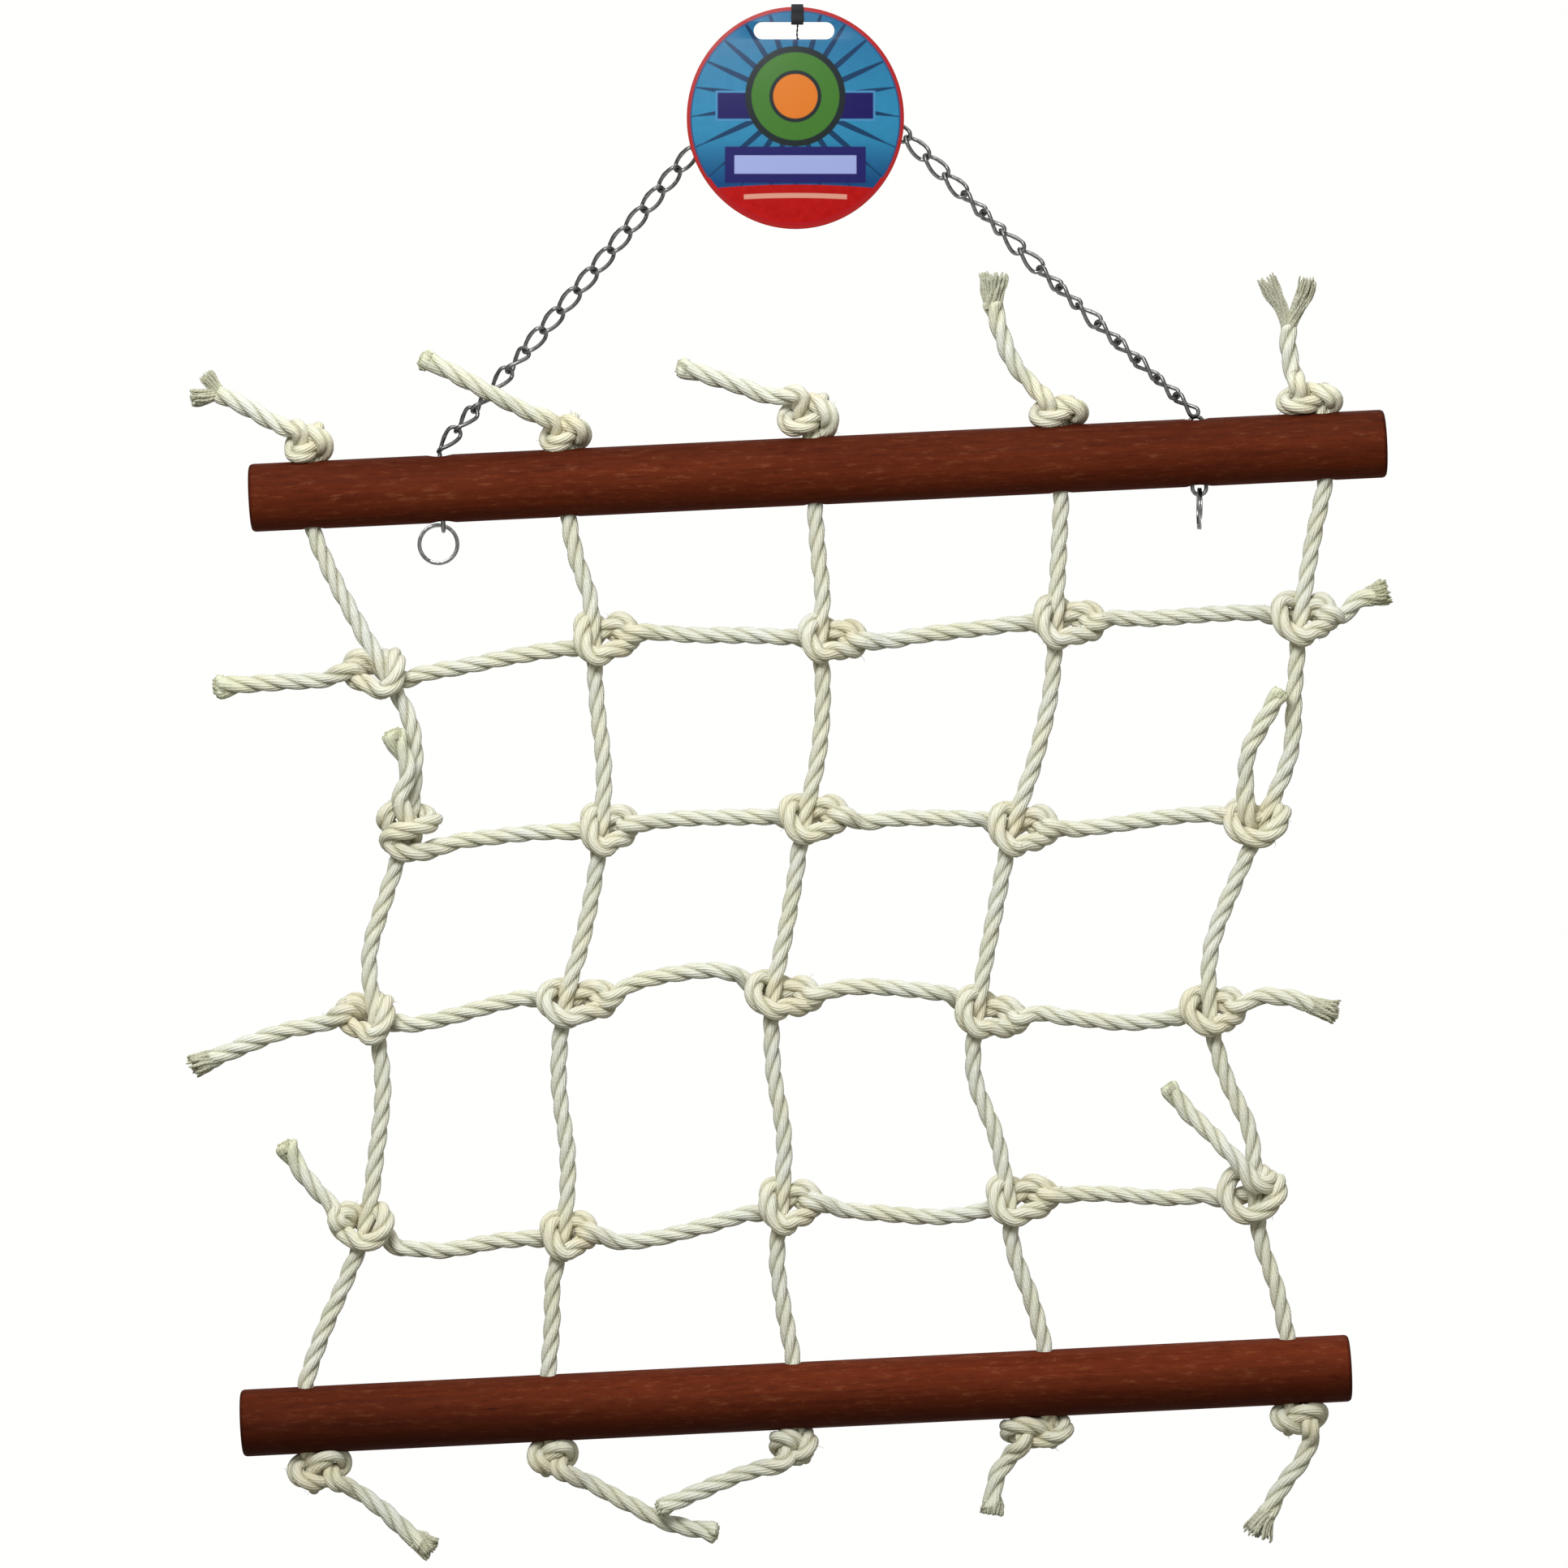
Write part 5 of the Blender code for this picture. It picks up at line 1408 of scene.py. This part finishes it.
# How each free end finishes. cut: millimetres left off the laid rope; brush: the
# opened yarns beyond it as (length, end radius, yarns); routes: the separate
# strands of a rope that has come unlaid, as points (x, y, z) in the frame.
TAIL_END = {
    ('t', 0): dict(tint=0.25, cut=9.5, routes=(((-212.5, 0, -128.8), (-215.0, 0.3, -126.0), (-218.6, 0.6, -121.4)), ((-212.5, 0, -129.6), (-217.5, -0.5, -130.6), (-224.0, -0.8, -131.6)))),
    ('t', 1): dict(swell=1.40, tint=0.9, brush=(1.6, 3.9, 40)),
    ('t', 2): dict(swell=1.26, tint=0.55, brush=(1.6, 3.5, 36)),
    ('t', 3): dict(swell=1.25, tint=0.5, cut=6.5, brush=(10.0, 5.2, 44)),
    ('t', 4): dict(tint=0.10, cut=15.5, wide=3.8, routes=(((182.0, 0, -104.5), (180.0, 0.3, -98.0), (177.0, 0.6, -92.5), (173.4, 0.6, -85.6)), ((183.4, 0, -104.5), (186.0, -0.4, -98.0), (188.6, -0.6, -92.5), (190.4, -0.4, -85.8)))),
    ('b', 0): dict(swell=1.34, tint=0.5, cut=3.0, brush=(5.0, 4.6, 44)),
    ('b', 1): dict(swell=1.30, tint=0.5, brush=(1.3, 4.0, 34)),
    ('b', 2): dict(swell=1.15, tint=0.5, brush=(2.0, 3.8, 34)),
    ('b', 3): dict(swell=1.36, tint=0.6, cut=0.5, brush=(2.6, 4.8, 46)),
    ('b', 4): dict(swell=1.15, tint=0.25, cut=5.0, brush=(9.5, 5.8, 40)),
    ('l', 0): dict(swell=1.52, reach=10.0, tint=1.0, brush=(1.8, 4.3, 44)),
    ('l', 1): dict(swell=1.55, reach=10.0, tint=1.0, brush=(1.8, 4.4, 44)),
    ('l', 2): dict(swell=1.10, tint=0.5, cut=4.5, brush=(7.5, 4.6, 38)),
    ('l', 3): dict(swell=1.45, reach=9.0, tint=1.0, brush=(1.6, 4.1, 40)),
    ('r', 0): dict(swell=1.30, tint=1.0, cut=2.0, brush=(5.5, 5.2, 40)),
    ('r', 1): dict(swell=1.18, tint=0.9, brush=(1.0, 3.3, 30)),
    ('r', 2): dict(swell=1.05, tint=0.5, cut=6.0, brush=(9.0, 4.6, 36)),
    ('r', 3): dict(swell=1.18, tint=0.8, brush=(1.2, 3.5, 30)),
}


def cut_back(points, length):
    """Take a length off the far end of a list of points."""
    pts = [Vector(q) for q in points]
    while length > 0 and len(pts) > 2:
        seg = (pts[-1] - pts[-2]).length
        if seg > length + 1.0:
            pts[-1] = pts[-1] + (pts[-2] - pts[-1]) * (length / seg)
            return pts
        length -= seg
        pts.pop()
    return pts


def end_piece(name, key, rope, at_start, body):
    """The opened yarns at one end of a rope."""
    spec = TAIL_END[key]
    k = 0 if at_start else -1
    tip, way = Vector(rope.p[k]), Vector(rope.t[k]) * (-1 if at_start else 1)
    lines = []
    seed = (hash_of(name) % 97) * 0.13
    if 'routes' in spec:
        for m, route in enumerate(spec['routes']):
            pts = [tip - way * 3.0 + (Vector(route[0]) - tip) * 0.2] + [Vector(q) for q in route]
            lines += [(pts[:-1] + [pts[-2].lerp(pts[-1], 0.45)], 1.7 * spec.get('shares', (1.0, 1.0))[m], 1.95 * spec.get('shares', (1.0, 1.0))[m])]
            lines += fray(pts, max(6, int(36 * spec.get('shares', (1.0, 1.0))[m])), 1.75 * (0.4 + 0.6 * spec.get('shares', (1.0, 1.0))[m]), spec.get('wide', 3.3), seed + m * 2.0, (0.58, 0.40), 0.5, 0.16, 1.1)
    else:
        length, wide, count = spec['brush']
        short = length < 2.5
        side = noise.noise_vector(Vector((seed, 3.0, 1.0)))
        start_r = ROPE_R * 0.80 * spec.get('swell', 1.0)
        pts = [tip - way * 3.2, tip - way * 0.8, tip + way * length * 0.5 + side * length * 0.06, tip + way * length + side * length * 0.16]
        if short:
            lines += fray(pts, count, start_r, wide, seed, (0.80, 0.78), 0.6, 0.06, 0.25, 0.42)
        else:
            lines += fray(pts, count + 18, start_r, wide, seed, (0.70, 0.54), 0.6, 0.26, 0.5 + length * 0.12)
    return yarn_tubes(name, lines, body, spec.get('tint', 0.6), 0.1)


def hash_of(text):
    total = 7
    for ch in text:
        total = (total * 31 + ord(ch)) % 100003
    return total


def tail_mark(rope, knot_centre, reach, from_start):
    """Index where a rope is clear of its end knot."""
    d = np.linalg.norm(rope.p - np.array(tuple(knot_centre)), axis=1)
    if from_start:
        for i in range(len(d)):
            if d[i] < reach:
                return max(1, i)
    else:
        for i in range(len(d) - 1, -1, -1):
            if d[i] < reach:
                return min(len(d) - 2, i)
    return 1


ropes = []
TIP = dict(swell=1.0, reach=7.0, round=1.6, tint=0.7)
for c in range(5):
    st, sb = TOP_STOPPERS[c], BOTTOM_STOPPERS[c]
    top_pts, top_heart = stopper_points(TOP_BAR, HOLES_TOP[c], st, True, STOP_STYLE.get(('t', c), {}))
    bot_pts, bot_heart = stopper_points(BOTTOM_BAR, HOLES_BOTTOM[c], sb, False, STOP_STYLE.get(('b', c), {}))
    pts = list(reversed(cut_back(st['tail'], TAIL_END[('t', c)].get('cut', 0.0)))) + list(reversed(top_pts))
    pts += upright_points(c)
    pts += bot_pts + cut_back(sb['tail'], TAIL_END[('b', c)].get('cut', 0.0))
    knots = [(top_heart, 9.0, -0.11), (bot_heart, 9.0, -0.11)] + [(v(*CROSSINGS[c][r]), 7.0, 0.0) for r in range(4)]
    rope = Rope(pts, 1.0 + c * 0.83, knot=knots, tip_start={**TIP, **TAIL_END[('t', c)]}, tip_end={**TIP, **TAIL_END[('b', c)]})
    rope.top_heart, rope.bot_heart = top_heart, bot_heart
    ropes.append(rope)

cords = []
for c, rope in enumerate(ropes):
    n = len(rope.p)
    mid = n // 2
    i_tail_top = tail_mark(rope, rope.top_heart, 10.6, True)
    i_bore_top = rope.nearest(bar_point(TOP_BAR, HOLES_TOP[c], -BAR_D / 2 + 4.5), 0, mid)
    i_bore_bot = rope.nearest(bar_point(BOTTOM_BAR, HOLES_BOTTOM[c], BAR_D / 2 - 4.5), mid)
    i_tail_bot = tail_mark(rope, rope.bot_heart, 10.6, False)
    rope.cuts = [i_bore_top]
    for r in range(4):
        rope.cuts.append(rope.nearest(v(*CROSSINGS[c][r])))
    z_mid = (FOLD_Z[4] + FOLD_Z[5]) / 2
    target = [i for i in range(mid, n) if (rope.p[i][2] - z_mid - rope.p[i][0] * SLOPE) < 0][0]
    rope.cuts.append(target)
    rope.cuts.append(i_bore_bot)
    top = rope_object("upright_%d_rope_top_knot" % (c + 1), [(rope, i_tail_top, i_bore_top)], "upper_bar",
                      fuzz(rope, i_tail_top + 2, i_bore_top - 12, 26, 3 + c, (1.4, 3.2)))
    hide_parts("upright_%d_top_knot" % (c + 1))
    bottom = rope_object("upright_%d_rope_bottom_knot" % (c + 1), [(rope, i_bore_bot, i_tail_bot)], "lower_bar",
                         fuzz(rope, i_bore_bot + 12, i_tail_bot - 2, 26, 13 + c, (1.4, 3.2)))
    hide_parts("upright_%d_bottom_knot" % (c + 1))
    t1 = rope_object("upright_%d_top_tail" % (c + 1), [(rope, 0, i_tail_top)], "upper_bar")
    t2 = rope_object("upright_%d_bottom_tail" % (c + 1), [(rope, i_tail_bot, n - 1)], "lower_bar")
    e1 = end_piece("upright_%d_top_end" % (c + 1), ('t', c), rope, True, "upper_bar")
    e2 = end_piece("upright_%d_bottom_end" % (c + 1), ('b', c), rope, False, "lower_bar")
    cords.append((t1, rope, i_tail_top, 0, e1))
    cords.append((t2, rope, i_tail_bot, n - 1, e2))

for k in range(6):
    obj = rope_object("upright_ropes_fold_%d" % (k + 1), [(rope, rope.cuts[k], rope.cuts[k + 1]) for rope in ropes])
    near, far = (2.0, 9.0) if k == 0 else (9.0, 2.0) if k == 5 else (6.5, 6.5)
    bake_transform(obj)
    if k < 5:
        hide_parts(*["upright_%d_span_%d" % (c + 1, k + 1) for c in range(5)])

for r in range(4):
    pts, marks = cross_points(r)
    knots = [(v(*KNOTS[r][c]), 10.5, -0.15) for c in range(5)]
    rope = Rope(pts, 7.0 + r * 1.37, knot=knots, tip_start={**TIP, **TAIL_END[('l', r)]}, tip_end={**TIP, **TAIL_END[('r', r)]})
    n = len(rope.p)
    i0 = tail_mark(rope, v(*CROSSINGS[0][r]), 13.0, True)
    i1 = tail_mark(rope, v(*CROSSINGS[4][r]), 13.0, False)
    body = "net_row_%d" % (r + 1)
    loose = []
    for c in range(5):
        mid = rope.nearest(v(*KNOTS[r][c]))
        near = np.where(np.linalg.norm(rope.p - np.array(tuple(v(*KNOTS[r][c]))), axis=1) < 15)[0]
        loose += fuzz(rope, int(near.min()), int(near.max()), 22, 31 + r * 5 + c, (1.2, 2.8))
    obj = rope_object("knotted_cross_rope_%d" % (r + 1), [(rope, i0, i1)], body, loose)
    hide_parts("cross_rope_%d" % (r + 1))
    t1 = rope_object("cross_rope_%d_left_tail" % (r + 1), [(rope, 0, i0)], body)
    t2 = rope_object("cross_rope_%d_right_tail" % (r + 1), [(rope, i1, n - 1)], body)
    e1 = end_piece("cross_rope_%d_left_end" % (r + 1), ('l', r), rope, True, body)
    e2 = end_piece("cross_rope_%d_right_end" % (r + 1), ('r', r), rope, False, body)
    cords.append((t1, rope, i0, 0, e1))
    cords.append((t2, rope, i1, n - 1, e2))

for obj, rope, i_from, i_to, end in cords:
    lo_i, hi_i = min(i_from, i_to), max(i_from, i_to)
    length = (rope.s[hi_i] - rope.s[lo_i]) * MM
    pts = rope.p[lo_i:hi_i + 1] * MM
    if i_to < i_from:
        pts = pts[::-1]
    print("tail", obj.name, round(float(length) * 1000, 1), "mm")
